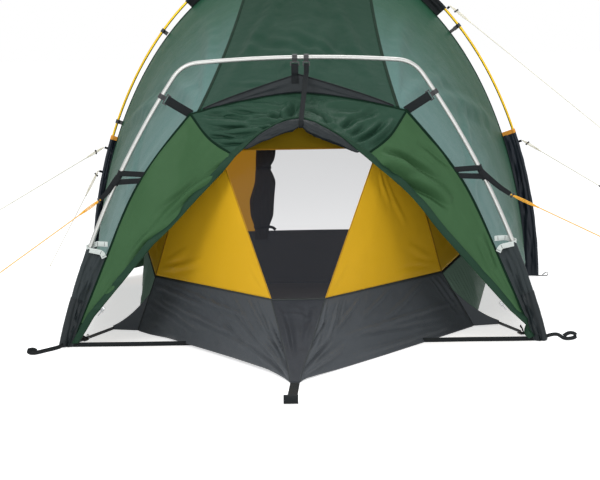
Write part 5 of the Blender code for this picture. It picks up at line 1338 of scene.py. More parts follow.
def rolled_hatch():
    """The hatch cover, rolled up along the top of its opening."""
    edge, hang = roll_hang(150)
    path = edge + hang
    angles = round_angles(44)
    rings = []
    for i, (point, across, up) in enumerate(zip(path, *frames_along(path, (0, 1, 0)))):
        share = i / (len(path) - 1)
        radius = ROLL_RADIUS * (0.06 + 0.94 * math.sin(math.pi * share) ** 0.6)
        radius *= 1 + ROLL_SWELL * math.exp(-((point[0] - ROLL_SWELL_X) / 0.05) ** 2)
        radius *= 1 - ROLL_NIP * math.exp(-((point[0] - ROLL_TIE_X) / ROLL_NIP_WIDTH) ** 2)
        crumple = soft_noise(angles * 1.6 + 3 * share, share * 20, 71)
        fine = soft_noise(angles * 4.5 + 8 * share, share * 15, 73)
        lap = 0.16 * np.exp(-((angles - 3.6 - 0.9 * share) / 0.16) ** 2)
        lobes = 0.07 * (0.5 - 0.5 * np.cos(3 * angles + 7 * share))
        swell = 0.93 - lobes + 0.08 * crumple + 0.07 * fine + lap
        rings.append(ring_of(edge[i] + hang[i] * radius / ROLL_RADIUS, up, across, angles, radius * swell))
    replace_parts(swept("rolled_hatch_cloth", rings, "roll", sharp=70.0), "rolled_hatch")


PORCH_CREASES = (
    (0.05, 0.15, 0.90, 0.35, 0.022, 0.006),
    (0.05, 0.50, 0.95, 0.85, 0.022, 0.006),
    (0.10, 0.80, 0.90, 0.95, 0.016, 0.004),
)


def vestibule_grids():
    """Cloth of the porch: left side, right side and the brow over its doorway."""
    rows, cols = 80, 60
    share = np.linspace(0, 1, cols)
    grids = []
    for side in WORDS:
        front, top = fly_arch(side, rows), door_corner(side, True)
        back = straight(door_corner(side, False), top, rows)
        hem = straight(front[0], back[0], cols)
        hem[:, 2] += HEM_RISE * 4 * share * (1 - share)
        grids.append(patch(hem, straight(front[-1], top, cols), front, back))
    front = fly_top_arch(50)
    back = straight(door_corner(-1, True), door_corner(1, True), 50)
    back[:, 2] += BROW_RISE * np.sin(np.linspace(0, math.pi, 50))
    grids.append(between_lines(front, back, 30))
    return grids


def vestibule():
    """Porch behind the main hoop, with its door rolled up at the left of the doorway."""
    hints = [(-1, 0.6, 0.3), (1, 0.6, 0.3), (0, 0.6, 1)]
    grids = [creased(grid, hint, PORCH_CREASES if i < 2 else (), 0.0035, 0.18, seed=81 + i)
             for i, (grid, hint) in enumerate(zip(vestibule_grids(), hints))]
    made = cloth("vestibule_cloth", grids, ("fly_teal", "fly_green"), hints, numbers=[0, 0, 1])
    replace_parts(made, "vestibule_left", "vestibule_right", "vestibule_brow")
    for (side, word), grid, hint in zip(WORDS.items(), grids, hints):
        hem = [strip_of(grid, "back", DOOR_HEM_WIDTH), strip_of(grid, "bottom", HEM_WIDTH)]
        cloth("vestibule_hem_" + word, hem, "fly_teal", [hint] * 2, HEM_THICK, HEM_THICK)
        cloth("vestibule_seam_" + word, seam_strips(grid, grids[2], side), "fly_green",
                           [hint, hints[2]], SEAM_THICK, 0.0013)
    cloth("doorway_hem", [strip_of(grids[2], "back", DOOR_HEM_WIDTH)], "fly_green", [hints[2]],
                       HEM_THICK, HEM_THICK)
    for side in WORDS:
        tail_loop(side)
    vestibule_door()


def teardrop(start, direction, up, length, tail, radius):
    """Strap path along the ground that turns back over itself in a loop."""
    centre = start + direction * length + up * (radius + WEBBING / 2)
    turn = round_turn(centre, -up, direction, radius, 0.0, math.radians(200), 21)
    back = start + direction * (length - tail) + up * (WEBBING * 1.5 + SEWN)
    return np.vstack([start + up * WEBBING / 2, start + direction * (length - tail) + up * WEBBING / 2,
                      turn, back])


def tail_loop(side):
    """Peg loop sewn to the foot of the doorway's edge."""
    foot, top = door_corner(side, False), door_corner(side, True)
    along = unit(top - foot)
    hem = unit(fly_arch(side, 2)[0] - foot)
    out = backward(np.cross(hem, along))
    sewn = foot + along * 0.020 + hem * 0.012 + out * CLOTH
    edge = foot + hem * 0.012 + out * CLOTH / 2 - along * 0.002
    ground = vec(edge[0], edge[1] + 0.012, GAP)
    reach = TAIL_Y + LOOP_REACH - ground[1] - TAIL_LOOP_RADIUS - WEBBING / 2
    path = teardrop(ground, vec(0, 1, 0), UP, reach, 0.012, TAIL_LOOP_RADIUS)
    strap("tail_loop_" + WORDS[side], np.vstack([sewn, edge, path]), BASE_WEBBING, vec(1, 0, 0), step=0.003)


def backward(direction):
    """A unit direction, turned towards the head end."""
    return unit(direction) * (-1 if direction[1] < 0 else 1)


def tie(name, centre, first, second, radius, width, along):
    """A narrow band round a rolled or gathered door."""
    turn = round_turn(centre, first, second, radius, 0, 2 * math.pi, 40)
    strap(name, turn, width, along, "black", TIE_THICK)


def vestibule_door():
    """The porch door, rolled up and tied along the left edge of the doorway."""
    foot, top = door_corner(-1, False), door_corner(-1, True)
    along = unit(top - foot)
    inward = unit(vec(1, 0, 0) - along * along[0])
    out = backward(np.cross(inward, along))
    length = np.linalg.norm(top - foot)
    angles = round_angles(48)
    rings, centres = [], []
    for share in np.linspace(0, 1, 140):
        tied = sum(math.exp(-((share - spot) / 0.045) ** 2) for spot in DOOR_TIES)
        radius = VESTIBULE_ROLL_RADIUS * (1 - 0.30 * tied - 0.22 * abs(2 * share - 1) ** 3)
        centre = foot + along * (0.03 + share * (length - 0.07)) + inward * (radius + SEWN)
        centres.append((centre, radius))
        fold = soft_noise(angles * 2.2, share * 7, 91)
        lap = 0.08 * np.exp(-((angles - 2.4 - share) / 0.16) ** 2)
        rings.append(ring_of(centre, inward, out, angles, radius * (0.92 + 0.05 * fold * (1 + tied) + lap)))
    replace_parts(swept("vestibule_door_cloth", rings, "fly_green", sharp=70.0), "vestibule_door_roll")
    for number, spot in enumerate(DOOR_TIES):
        centre, radius = centres[int(spot * 139)]
        tie(f"door_tie_{number}", centre, inward, out, radius * 1.02 + 0.0008, 0.012, along)


def inner_panels():
    """Panels of the inner tent with their outward directions: two sides, roof, two fronts, front top."""
    rows = cols = 60
    panels, edges = [], {}
    for side in WORDS:
        rim, corner = rim_corner(side), inner_corner(side)
        bow = (rim + corner) / 2 + vec(side * 0.012, 0, 0)
        edges[side] = resample(smooth_line([rim, bow, corner]), rows)
        grid = between_lines(edges[side], inner_head(side, rows), cols)
        hint = (side, 0, 0.3)
        panels.append((creased(grid, hint, INNER_SIDE_CREASES, 0.0035, 0.16, seed=101 + side), hint))
    left, right = inner_head(-1, 2)[-1], inner_head(1, 2)[-1]
    arch = np.vstack([inner_head(-1, 60, first_z=left[2], last_x=0.001),
                      inner_head(1, 60, first_z=right[2], last_x=0.001)[::-1]])
    top = inner_top_edge(50)
    grid = between_lines(top, resample(arch, 50), cols)
    panels.append((creased(grid, (0, 0, 1), (), 0.003, 0.16, seed=105), (0, 0, 1)))
    for side in WORDS:
        grid = between_lines(edges[side], straight(rim_gusset(side), mesh_corner(side), rows), cols)
        hint = (side, -1, 0.6)
        creases = INNER_FRONT_CREASES[side]
        panels.append((creased(grid, hint, creases, 0.0018, 0.14, seed=111 + side, hold=30.0), hint))
    grid = between_lines(straight(mesh_corner(-1), mesh_corner(1), 50), top, 16)
    panels.append((creased(grid, (0, -1, 0.6), (), 0.002, 0.06, seed=121, hold=40.0), (0, -1, 0.6)))
    return zip(*panels)


# Inner tent and groundsheet

INNER_SIDE_CREASES = (
    (0.02, 0.95, 0.60, 0.60, 0.018, 0.005),
    (0.05, 0.10, 0.90, 0.25, 0.018, 0.004),
)
INNER_FRONT_CREASES = {
    -1: (
        (0.02, 0.03, 0.42, 0.17, 0.008, 0.006),
        (0.00, 0.05, 0.26, 0.11, 0.006, 0.005),
        (0.05, 0.09, 0.28, 0.24, 0.009, 0.003),
        (0.98, 0.03, 0.90, 0.22, 0.009, 0.002),
    ),
    1: (
        (0.02, 0.03, 0.42, 0.05, 0.008, 0.006),
        (0.00, 0.05, 0.26, 0.11, 0.006, 0.005),
        (0.05, 0.09, 0.28, 0.24, 0.009, 0.003),
        (0.98, 0.03, 0.90, 0.22, 0.009, 0.002),
        (0.71, 0.81, 0.44, 0.54, 0.010, 0.004),
        (0.54, 0.76, 0.25, 0.37, 0.010, 0.003),
    ),
}


def inner():
    """Yellow inner with its netting panel, head wall and rolled door."""
    grids, hints = (list(part) for part in inner_panels())
    # The front top panel takes the darker yellow, a painted shade.
    made = cloth("inner_cloth", grids, ("yellow", "painted_shade_yellow"), hints, numbers=[0] * 5 + [1])
    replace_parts(made, "inner_side_left", "inner_side_right", "inner_roof", "inner_front_left",
                "inner_front_right", "inner_front_top")
    for beside, word in enumerate(WORDS.values()):
        front = beside + 3
        seam = [strip_of(grids[front], "front", 0.005), strip_of(grids[beside], "front", 0.005)]
        cloth("inner_seam_" + word, seam, "seam_yellow", [hints[front], hints[beside]], 0.001,
                           0.0014)
        piping("mesh_seam_" + word, grids[front], "back", hints[front], 0.006, 0.002,
                            "seam_yellow")
    piping("mesh_seam_top", grids[5], "front", hints[5], 0.006, 0.002, "seam_yellow")
    netting()
    head_wall()
    inner_door()


def netting():
    """See-through panel in the middle of the front."""
    low, high = (straight(corner(-1), corner(1), 40) for corner in (rim_gusset, mesh_corner))
    grid = creased(between_lines(low, high, 60), (0, -1, 0.6), (), 0.0015, 0.10, seed=131)
    made = cloth("netting_panel", [grid], "netting", [(0, -1, 0.6)], thick=0.0)
    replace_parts(made, "inner_front_mesh")


def head_wall():
    """Head wall round the doorway."""
    y = HEAD_Y + SEWN
    rows = 140
    outer = np.vstack([inner_head(-1, 60, last_x=0.001), inner_head(1, 60, last_x=0.001)[::-1]])
    outer = resample(outer, rows)
    outer[:, 1] = y
    bend, left, right = DOORWAY_BEND, DOORWAY_LEFT, DOORWAY_RIGHT
    height = DOORWAY_TOP - bend
    turn_l = round_turn(vec(left + bend, y, height), vec(-1, 0, 0), UP, bend, 0, math.pi / 2, 16)
    turn_r = round_turn(vec(right - bend, y, height), vec(1, 0, 0), UP, bend, math.pi / 2, 0, 16)
    foot = RIM_Z - 0.008
    opening = resample(np.vstack([vec(left, y, foot), turn_l, turn_r, vec(right, y, foot)]), rows)
    grid = creased(between_lines(outer, opening, 24), (0, 1, 0), (), 0.003, 0.12, seed=141)
    made = cloth("head_wall_cloth", [grid], "head_yellow", [(0, 1, 0)])
    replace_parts(made, "head_wall")
    tape = cloth("doorway_zip_tape", [strip_of(grid, "back", HEM_WIDTH)], "dark_cloth", [(0, 1, 0)],
                 HEM_THICK, 0.0014)


# Heights of the inner door's ties
BUNDLE_TIES = (0.412, 0.205)
# Height, middle and half width of the tied-up inner door
DOOR_BUNDLE = (
    (0.815, -0.158, 0.030),
    (0.600, -0.158, 0.033),
    (0.464, -0.159, 0.034),
    (0.435, -0.163, 0.032),
    (0.412, -0.171, 0.024),
    (0.390, -0.167, 0.031),
    (0.364, -0.163, 0.036),
    (0.300, -0.176, 0.045),
    (0.244, -0.178, 0.041),
    (0.205, -0.179, 0.026),
    (0.155, -0.179, 0.023),
)


def inner_door():
    """The inner door, gathered and tied up at the left of the doorway."""
    table = np.array(DOOR_BUNDLE)[::-1]
    heights = np.linspace(DOORWAY_TOP - 0.03, DOOR_BUNDLE_FOOT, 150)
    middle, girth = (np.convolve(np.pad(np.interp(heights, table[:, 0], table[:, k]), 2, mode="edge"),
                                 np.ones(5) / 5, "valid") for k in (1, 2))
    centre_y = HEAD_Y - 0.8 * DOOR_ROLL_RADIUS
    across, back = vec(1, 0, 0), vec(0, 0.7, 0)
    angles = round_angles(72)
    rings = []
    for share, x, z, wide in zip(np.linspace(0, 1, len(heights)), middle, heights, girth):
        pleat = 0.94 - 0.06 * np.cos(9 * angles + 0.8 * math.sin(5 * share))
        pleat += 0.05 * soft_noise(angles * 2, share * 9, 151)
        rings.append(ring_of(vec(x, centre_y, z), across, back, angles, wide * pleat))
    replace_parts(swept("inner_door_cloth", rings, "dark_cloth", sharp=70.0), "inner_door_roll")
    for number, z in enumerate(BUNDLE_TIES):
        index = int(np.argmin(np.abs(heights - z)))
        centre = vec(middle[index], centre_y, z)
        tie(f"inner_door_tie_{number}", centre, across, back, girth[index] + 0.001, 0.010, UP)
    side = centre + vec(girth[index], 0, 0)
    end = smooth_line([side + vec(0, -0.01, 0), side + vec(0.012, -0.014, -0.002),
                       side + vec(0.022, -0.014, -0.010)], 8)
    strap("inner_door_tie_end", end, 0.010, UP, "black", TIE_THICK)


def tub_corners():
    """Floor corner and rim corner of each wall of the groundsheet, right side first."""
    pairs = []
    for side in (1, -1):
        order = [
            (vec(side * TIP_HALF, FOOT_Y - TIP_REACH, FLOOR_Z), rim_gusset(side)),
            (vec(side * FLOOR_CORNER_X, FOOT_Y + FLOOR_CORNER_Y, FLOOR_Z), rim_corner(side)),
            (vec(side * FLOOR_HEAD_HALF, HEAD_Y, FLOOR_Z), inner_head(side, 2)[0]),
        ]
        pairs.append(order if side == 1 else order[::-1])
    return pairs[0] + pairs[1]


# Walls of the groundsheet, right side first: points along it, outward direction, number of its finish
TUB_WALLS = (
    (160, (0.6, -0.6, 0.5), 0),
    (160, (1, 0, 0.4), 1),
    (70, (0, 1, 0.4), 0),
    (160, (-1, 0, 0.4), 1),
    (160, (-0.6, -0.6, 0.5), 0),
    (50, (0, -1, 0.5), 2),
)
# Which of them is the head wall, and how its rim bows up
HEAD_SIDE = 2
HEAD_RISE = 0.013
HEAD_LIFT = 0.006
# Bound seams between the walls: width, thickness, and the wall and edge they follow
TUB_SEAMS = (
    ("prow", 0.006, 0.0025, ((0, "front", "right"), (4, "back", "left"))),
    ("corner", 0.005, 0.0020, ((0, "back", "right"), (4, "front", "left"))),
)
TUB_CREASES = {
    0: (
        (0.000, 0.96, 0.010, 0.40, 0.008, -0.006),
        (0.025, 0.95, 0.045, 0.35, 0.008, 0.005),
        (0.119, 0.92, 0.101, 0.40, 0.008, 0.005),
        (0.160, 0.94, 0.150, 0.55, 0.008, -0.004),
        (0.145, 0.40, 0.994, 0.473, 0.009, 0.006),
        (0.220, 0.10, 0.874, 0.109, 0.009, 0.005),
        (0.289, 0.38, 0.855, 0.230, 0.008, -0.005),
        (0.956, 0.95, 1.000, 0.200, 0.010, 0.006),
        (0.890, 0.95, 0.960, 0.250, 0.009, -0.005),
        (0.289, 0.90, 0.126, 0.500, 0.009, 0.005),
        (0.824, 0.93, 0.434, 0.450, 0.010, 0.005),
        (0.560, 0.96, 0.300, 0.600, 0.009, 0.004),
        (0.004, 0.12, 0.130, 0.440, 0.010, -0.009),
        (0.020, 0.06, 0.230, 0.300, 0.010, 0.007),
        (0.004, 0.30, 0.060, 0.760, 0.008, -0.007),
    ),
    4: (
        (0.994, 0.120, 0.880, 0.600, 0.010, -0.010),
        (0.990, 0.060, 0.840, 0.360, 0.010, 0.008),
        (0.996, 0.240, 0.935, 0.720, 0.008, -0.008),
        (0.960, 0.060, 0.740, 0.240, 0.009, -0.007),
        (0.700, 0.300, 0.560, 0.560, 0.010, -0.007),
        (0.000, 0.850, 0.460, 0.660, 0.009, 0.006),
        (0.100, 0.650, 0.600, 0.350, 0.009, 0.006),
        (0.799, 0.950, 0.900, 0.450, 0.008, 0.006),
        (0.868, 0.960, 0.940, 0.350, 0.007, -0.005),
        (0.300, 0.480, 0.840, 0.230, 0.008, -0.005),
        (0.138, 0.880, 0.811, 0.660, 0.008, 0.005),
        (0.680, 0.940, 0.830, 0.350, 0.008, 0.005),
        (0.019, 0.580, 0.390, 0.240, 0.009, -0.005),
        (0.560, 0.920, 0.870, 0.250, 0.008, -0.004),
        (0.400, 0.950, 0.700, 0.500, 0.008, 0.004),
    ),
    5: (
        (0.000, 0.945, 0.258, 0.364, 0.008, 0.005),
        (0.200, 0.960, 0.459, 0.255, 0.008, -0.004),
        (0.906, 0.930, 0.755, 0.436, 0.008, 0.005),
        (0.013, 0.836, 0.931, 0.745, 0.008, 0.003),
        (0.541, 0.950, 0.912, 0.600, 0.007, -0.003),
    ),
}
TUB_CREASES[1] = [(0.02 + 0.055 * k, 0.0, 0.03 + 0.055 * k, 1.0, 0.009, 0.007) for k in range(8)]
TUB_CREASES[3] = [(1 - a, b, 1 - c, d, w, h) for a, b, c, d, w, h in TUB_CREASES[1]]


def drawn_in(grid):
    """The front of the groundsheet, whose lower edge curves in and lifts a little towards the strap."""
    grid = np.array(grid, dtype=float)
    back, tip = FOOT_Y + FLOOR_CORNER_Y, FOOT_Y - TIP_REACH
    share = np.clip((back - grid[..., 1]) / (back - tip), 0, 1)
    edge = FLOOR_CORNER_X + (TIP_HALF - FLOOR_CORNER_X) * share
    low = 1 - np.clip((grid[..., 2] - FLOOR_Z) / (RIM_Z - FLOOR_Z), 0, 1)
    for side in WORDS:
        near = np.clip(side * grid[..., 0] / edge, 0, 1)
        amount = np.interp(share, *PROW_DRAW[side]) * low
        grid[..., 0] -= side * PROW_STEP_IN * amount * near
        grid[..., 2] += PROW_STEP_UP * amount * near ** 3
    return grid


def tub():
    """Groundsheet with raised walls, drawn to a point at the foot."""
    corners = tub_corners()
    hints = [hint for count, hint, number in TUB_WALLS]
    grids = []
    for i, (count, hint, number) in enumerate(TUB_WALLS):
        low, high = corners[i]
        low_next, high_next = corners[(i + 1) % len(corners)]
        top = straight(high, high_next, count)
        if i == HEAD_SIDE:
            share = np.linspace(0, 1, count)
            top[:, 2] += HEAD_RISE * 4 * share * (1 - share)
            top[:, 2] += HEAD_LIFT * np.minimum(1, np.minimum(share, 1 - share) * 8)
        grid = stood_on(straight(low, low_next, count), top, 56)
        if i in (0, 4):
            grid = drawn_in(grid)
        grids.append(creased(grid, hint, TUB_CREASES.get(i, ()), 0.0022, 0.06, (1.5, 1), 161 + i, 60.0))
    made = cloth("groundsheet_walls", grids, ("floor", "side_wall", "gore"), hints, TUB_THICK, -TUB_THICK / 2,
                 numbers=[number for count, hint, number in TUB_WALLS])
    rims = [strip_of(g, "top", 0.008) for g in grids]
    trims = [cloth("groundsheet_rim", rims, "dark_cloth", hints, TUB_THICK, TUB_THICK / 2, merge=0.003)]
    for kind, width, thick, edges in TUB_SEAMS:
        for number, edge, word in edges:
            trims.append(piping(f"{kind}_seam_{word}", grids[number], edge, hints[number], width, thick,
                                "dark_cloth"))
    floor = floor_grid(corners)
    base = cloth("groundsheet_floor", [floor], "floor", [(0, 0, 1)], TUB_THICK, -TUB_THICK / 2)
    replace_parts(made, "bathtub_floor")
    for side in WORDS:
        wing(side)


def floor_grid(corners):
    """The groundsheet on the ground, with a slight unevenness that stays above it."""
    right = np.array([corners[i][0] for i in (0, 1, 2)])
    left = np.array([corners[i][0] for i in (5, 4, 3)])
    stations = np.linspace(right[0][1], right[2][1], 90)
    grid = []
    for y in stations:
        a = np.interp(y, left[:, 1], left[:, 0])
        b = np.interp(y, right[:, 1], right[:, 0])
        grid.append([(a + (b - a) * t, y, FLOOR_Z) for t in np.linspace(0, 1, 50)])
    grid = np.array(grid)
    u, v = shares_of(grid)
    rise = 0.003 * (0.5 + 0.5 * soft_noise(grid[..., 0] / 0.07, grid[..., 1] / 0.10, 171))
    edge = np.minimum(np.minimum(u, 1 - u) * 12, np.minimum(v, 1 - v) * 20)
    grid[..., 2] += rise * np.clip(edge, 0, 1)
    return drawn_in(grid)


def wing(side):
    """Small web that pulls a front corner of the groundsheet out."""
    base = vec(side * FLOOR_CORNER_X, FOOT_Y + FLOOR_CORNER_Y, FLOOR_Z)
    share = WING_TOP_Z / RIM_Z
    top = base * (1 - share) + rim_corner(side) * share
    point = vec(side * WING_X, FOOT_Y + WING_Y, 0.004)
    tip = point + vec(0, 0, 0.012)
    count = 24
    lower, upper = straight(base, point, count), straight(top, tip, count)
    share = np.linspace(0, 1, count)
    upper[:, 2] -= 0.012 * 4 * share * (1 - share)
    creases = ((0.05, 0.8, 0.95, 0.3, 0.006, 0.003),)
    grid = creased(stood_on(lower, upper, 16), (0, -1, 0), creases, 0.001, 0.03, seed=181)
    made = cloth("corner_wing_" + WORDS[side], [grid], "floor", [(0, -1, 0)], TUB_THICK, 0.0)


# Straps and hooks

def hook_loop(tail):
    """Path of the webbing round the hook's lower bar, in the hook's own Y and Z."""
    rest = FOOT_POLE_RADIUS + GAP + HOOK_WALL
    slot_top = -rest - HOOK_NECK - HOOK_BAR
    slot_foot = slot_top - 2 * HOOK_SWING_GAP - WEBBING
    y = -rest + 0.004 + HOOK_PLATE / 2
    gap = HOOK_PLATE / 2 + HOOK_SWING_GAP + WEBBING / 2
    drop = slot_top - HOOK_SWING_GAP - WEBBING / 2 - gap
    turn = round_turn(vec(0, y, drop), vec(0, -1, 0), UP, gap, 0.0, math.pi, 17)
    front = vec(0, y - gap, -tail)
    back_end = vec(0, y + gap, slot_foot - HOOK_BAR - 0.012)
    return np.vstack([front, vec(0, y - gap, (drop - tail) / 2), turn, back_end])


def top_hook_spot(sign):
    """Where a top hook sits on the foot hoop, left or right of the middle."""
    x = HOOK_PAIR_X + sign * HOOK_PAIR_STEP / 2
    line = both_sides(foot_hoop())
    return vec(x, FOOT_Y, float(np.interp(x, line[:, 0], line[:, 2])))


def band_path(side, height, drop):
    """Path from the ridge round the foot hoop's leg and back to the ridge, nearly level."""
    spot, along = foot_hoop_at(height, side)
    ridge = ridge_leg(side, 300)
    near = at_height(ridge, height - drop)[0]
    into = unit(near - spot)
    out = unit(into - along * np.dot(into, along))
    radius = FOOT_POLE_RADIUS + GAP + WEBBING / 2
    y = vec(0, 1, 0)
    turn = round_turn(spot, y, -out, radius, 0.0, math.pi, 21)
    return np.vstack([near + y * (WEBBING / 2 + GAP) + into * 0.004, turn,
                      near - y * (WEBBING / 2 + GAP + 0.002) + into * 0.004]), along


def gusset():
    """Black web that hangs the ridge from the foot hoop, bound along its upper edge."""
    reach = seam_start(1)[0] - 0.012
    xs = np.linspace(-reach, reach, 120)
    low = np.array([(x, FOOT_Y, ridge_height(x) + CLOTH) for x in xs])
    high = np.array([(x, FOOT_Y, max(gusset_edge(x), ridge_height(x) + CLOTH + 0.002)) for x in xs])
    creases = ((0.1, 0.2, 0.48, 0.7, 0.006, 0.003), (0.9, 0.2, 0.52, 0.7, 0.006, 0.003))
    grid = creased(stood_on(low, high, 10), (0, -1, 0), creases, 0.001, 0.03, seed=191, hold=60.0)
    made = cloth("ridge_web", [grid], "roll", [(0, -1, 0)], 0.0012, 0.0)
    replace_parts(made, "ridge_gusset")
    binding = piping("ridge_web_binding", grid, "top", (0, -1, 0), 0.0045, 0.0022, "black")
    spot = top_hook_spot(-1)
    path = hook_loop(spot[2] - GUSSET_TOP - 0.004) + spot
    sewn = vec(path[0][0], FOOT_Y - 1.6 * WEBBING, GUSSET_TOP - 0.004)
    strap("gusset_strap", np.vstack([sewn - vec(0, 0, 0.022), sewn, path]), TOP_WEBBING, vec(1, 0, 0))


def roll_strap():
    """Strap from the right top hook down over the hood to hold the rolled hatch."""
    spot = top_hook_spot(1)
    path = hook_loop(0.040) + spot
    edge, hang = roll_hang(91)
    nearest = int(np.argmin(np.abs(edge[:, 0] - ROLL_TIE_X)))
    radius = ROLL_RADIUS * (1.06 - ROLL_NIP) + WEBBING / 2
    centre = edge[nearest] + hang[nearest] * (1 - ROLL_NIP)
    turn = round_turn(centre, vec(0, -1, 0), vec(0, 0, -1), radius, math.radians(-40), math.radians(150), 17)
    made = strap("hatch_strap", np.vstack([turn[::-1], path]), ROLL_STRAP_WIDTH, vec(1, 0, 0))
    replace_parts(made, "roll_strap")


def hook_straps():
    """Webbing from the corner hooks to the corners of the ridge."""
    for side, word in WORDS.items():
        spot, along = foot_hoop_at(CORNER_Z, side)
        corner = RIDGE_CORNER[side]
        down = unit(corner - spot)
        z_axis = -down
        x_axis = -along * side
        x_axis = unit(x_axis - z_axis * np.dot(x_axis, z_axis))
        y_axis = np.cross(z_axis, x_axis)
        path = spot + hook_loop(np.linalg.norm(corner - spot) + 0.007) @ np.array([x_axis, y_axis, z_axis])
        path[0] = corner + down * 0.004 + vec(0, 0.004, 0)
        path[1] = path[0] * 0.5 + path[2] * 0.5
        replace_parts(strap("corner_web_" + word, path, WIDE_WEBBING, x_axis), "corner_webbing_" + word)


def bands_and_tabs():
    """Double bands with their guyline tabs, and the reflective tabs below them."""
    for side, word in WORDS.items():
        for number, height in enumerate(BAND_Z):
            path, along = band_path(side, height - 0.004 * number, (0.004, -0.003)[number])
            upright = unit(vec(along[0] * 0.35, 0, 1))
            band = strap(f"mid_band_{word}_{number}", path, BAND_WIDTH, upright)
            if number == 0:
                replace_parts(band, "mid_band_" + word)
        low, high = (foot_hoop_at(z, side)[0] for z in (BAND_Z[1] - 0.012, BAND_Z[0] + 0.006))
        tube("band_wrap_" + word, straight(low, high, 6), FOOT_POLE_RADIUS + 0.0022, "black", 20)
        spot = foot_hoop_at(sum(BAND_Z) / 2 - 0.006, side)[0]
        ring = guy_ring(side)
        out = unit(ring - spot)
        line = smooth_line([spot - out * 0.006 + vec(0, -0.009, 0.004),
                            spot + out * 0.012 + vec(0, -0.012, 0.002),
                            spot * 0.4 + ring * 0.6 + vec(0, -0.007, -0.002), ring + vec(0, -0.001, 0)], 8)
        widths = np.linspace(0.019, 0.013, len(line))
        across = np.cross(out, vec(0, 1, 0))
        strap("guyline_tab_" + word, line, 0.02, across, widths=widths, step=0.002)
        strap("guyline_tab_fold_" + word, line[-14:] + vec(0, -0.0019, 0), 0.0125, across, step=0.002)
        reflective_tab(side, word)


def reflective_tab(side, word):
    """Reflective tape from the ridge, behind the foot hoop's leg and back across its front."""
    spot = foot_hoop_at(TAB_Z - 0.010, side)[0]
    radius = FOOT_POLE_RADIUS + 0.0012
    # Distance outward from the leg in pole radii and metres, then along Y and Z
    turns = ((0, -0.052, -0.004, 0.010), (0, -0.022, 0.004, 0.011), (0, -0.006, radius, 0.006),
             (1.1, 0, radius * 0.5, 0.001), (0.9, 0, -radius * 0.8, -0.004),
             (0, -0.012, -radius - 0.003, -0.008), (0, -0.034, -radius - 0.004, -0.014),
             (0, -0.042, -radius - 0.003, -0.028))
    path = smooth_line([spot + vec(side * (share * radius + x), y, z) for share, x, y, z in turns], 10)
    tab = strap("reflective_band_" + word, path, TAB_WIDTH * 2.1, UP, "tape", step=0.0025)
    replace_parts(tab, "reflective_tab_" + word)
    across, up = frames_along(path, UP)
    for number, index in enumerate((3, 10, len(path) - 12, len(path) - 4)):
        mark = np.array([path[index] + across[index] * TAB_WIDTH * 0.8 * t - up[index] * 0.0011
                         for t in (-1, 0, 1)])
        ahead = unit(path[index + 1] - path[index - 1])
        for sign in (-1, 1):
            line = mark + up[index] * 0.0011 * (1 + sign * 1.05)
            strap(f"tab_stitch_{word}_{number}_{sign + 2}", line, 0.0011, ahead, "black", 0.0003, step=0.002)


def line_buckle(centre, aim):
    """Ladder lock on the strap of the left corner, tilted up to the front: a frame with two more bars."""
    flat = unit(np.cross(UP, aim))
    tilted = unit(flat + vec(0, 0, 0.55 * np.sign(flat[1])))
    up = np.cross(aim, tilted)
    centre = centre + vec(0, 0, 0.0025)
    corners = [centre + aim * a * 0.017 + tilted * b * LOCK_HALF
               for a, b in ((-1, -0.6), (-1, 0.6), (-0.75, 1), (0.75, 1), (1, 0.6), (1, -0.6), (0.75, -1),
                            (-0.75, -1), (-1, -0.6))]
    tube("line_buckle_frame", smooth_line(corners, 6), 0.0026, "plastic", 12, up)
    for number, place in enumerate((-0.006, 0.006)):
        bar = [centre + aim * place + tilted * LOCK_HALF * t + up * 0.0012 * (1 - t * t)
               for t in np.linspace(-1, 1, 9)]
        tube(f"line_buckle_bar_{number}", bar, 0.0021, "plastic", 10, aim)


def ground_loops():
    """Straps and peg loops that lie on the ground."""
    start = vec(0, FOOT_Y - TIP_REACH - SEWN, 0)
    radius = PROW_LOOP_REACH / 3.2
    length = PROW_STRAP_LENGTH + PROW_LOOP_REACH - radius - SEWN - WEBBING / 2
    path = teardrop(start, vec(0, -1, 0), UP, length, PROW_LOOP_REACH, radius)
    reached = np.clip((start[1] - PROW_STRAP_LENGTH - path[:, 1]) / 0.016, 0, 1)
    widths = WIDE_WEBBING * (1 + 0.45 * reached * reached * (3 - 2 * reached))
    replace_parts(strap("prow_web", path, WIDE_WEBBING, vec(1, 0, 0), widths=widths), "prow_strap")
    reach, height = FOOT_HALF - 0.006, BASE_WEBBING * 0.52
    path = straight(vec(-reach, FOOT_Y, height), vec(reach, FOOT_Y, height), 61)
    path[:, 1] += 0.003 * soft_noise(path[:, 0] / 0.12, path[:, 0] * 0, 201)
    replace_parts(strap("base_web", path, BASE_WEBBING, UP, step=0.01), "base_strap")
    for side, word in WORDS.items():
        path = smooth_line([vec(*point) for point in FOOT_LOOPS[side]], 10)
        across = frames_along(path, vec(0, 0.45, 1) if side < 0 else vec(0, 0.8, 1))[0]
        strap("foot_loop_" + word, path, BASE_WEBBING * 0.9, across, step=0.003)
        aim = vec(side, 0, 0)
        path = teardrop(vec(side * MAIN_HALF, MAIN_Y, SEWN), aim, UP, MAIN_LOOP_LENGTH, 0.014, 0.006)
        strap("main_loop_" + word, path, BASE_WEBBING, np.cross(aim, UP), step=0.003)
        corner_line(side, word)


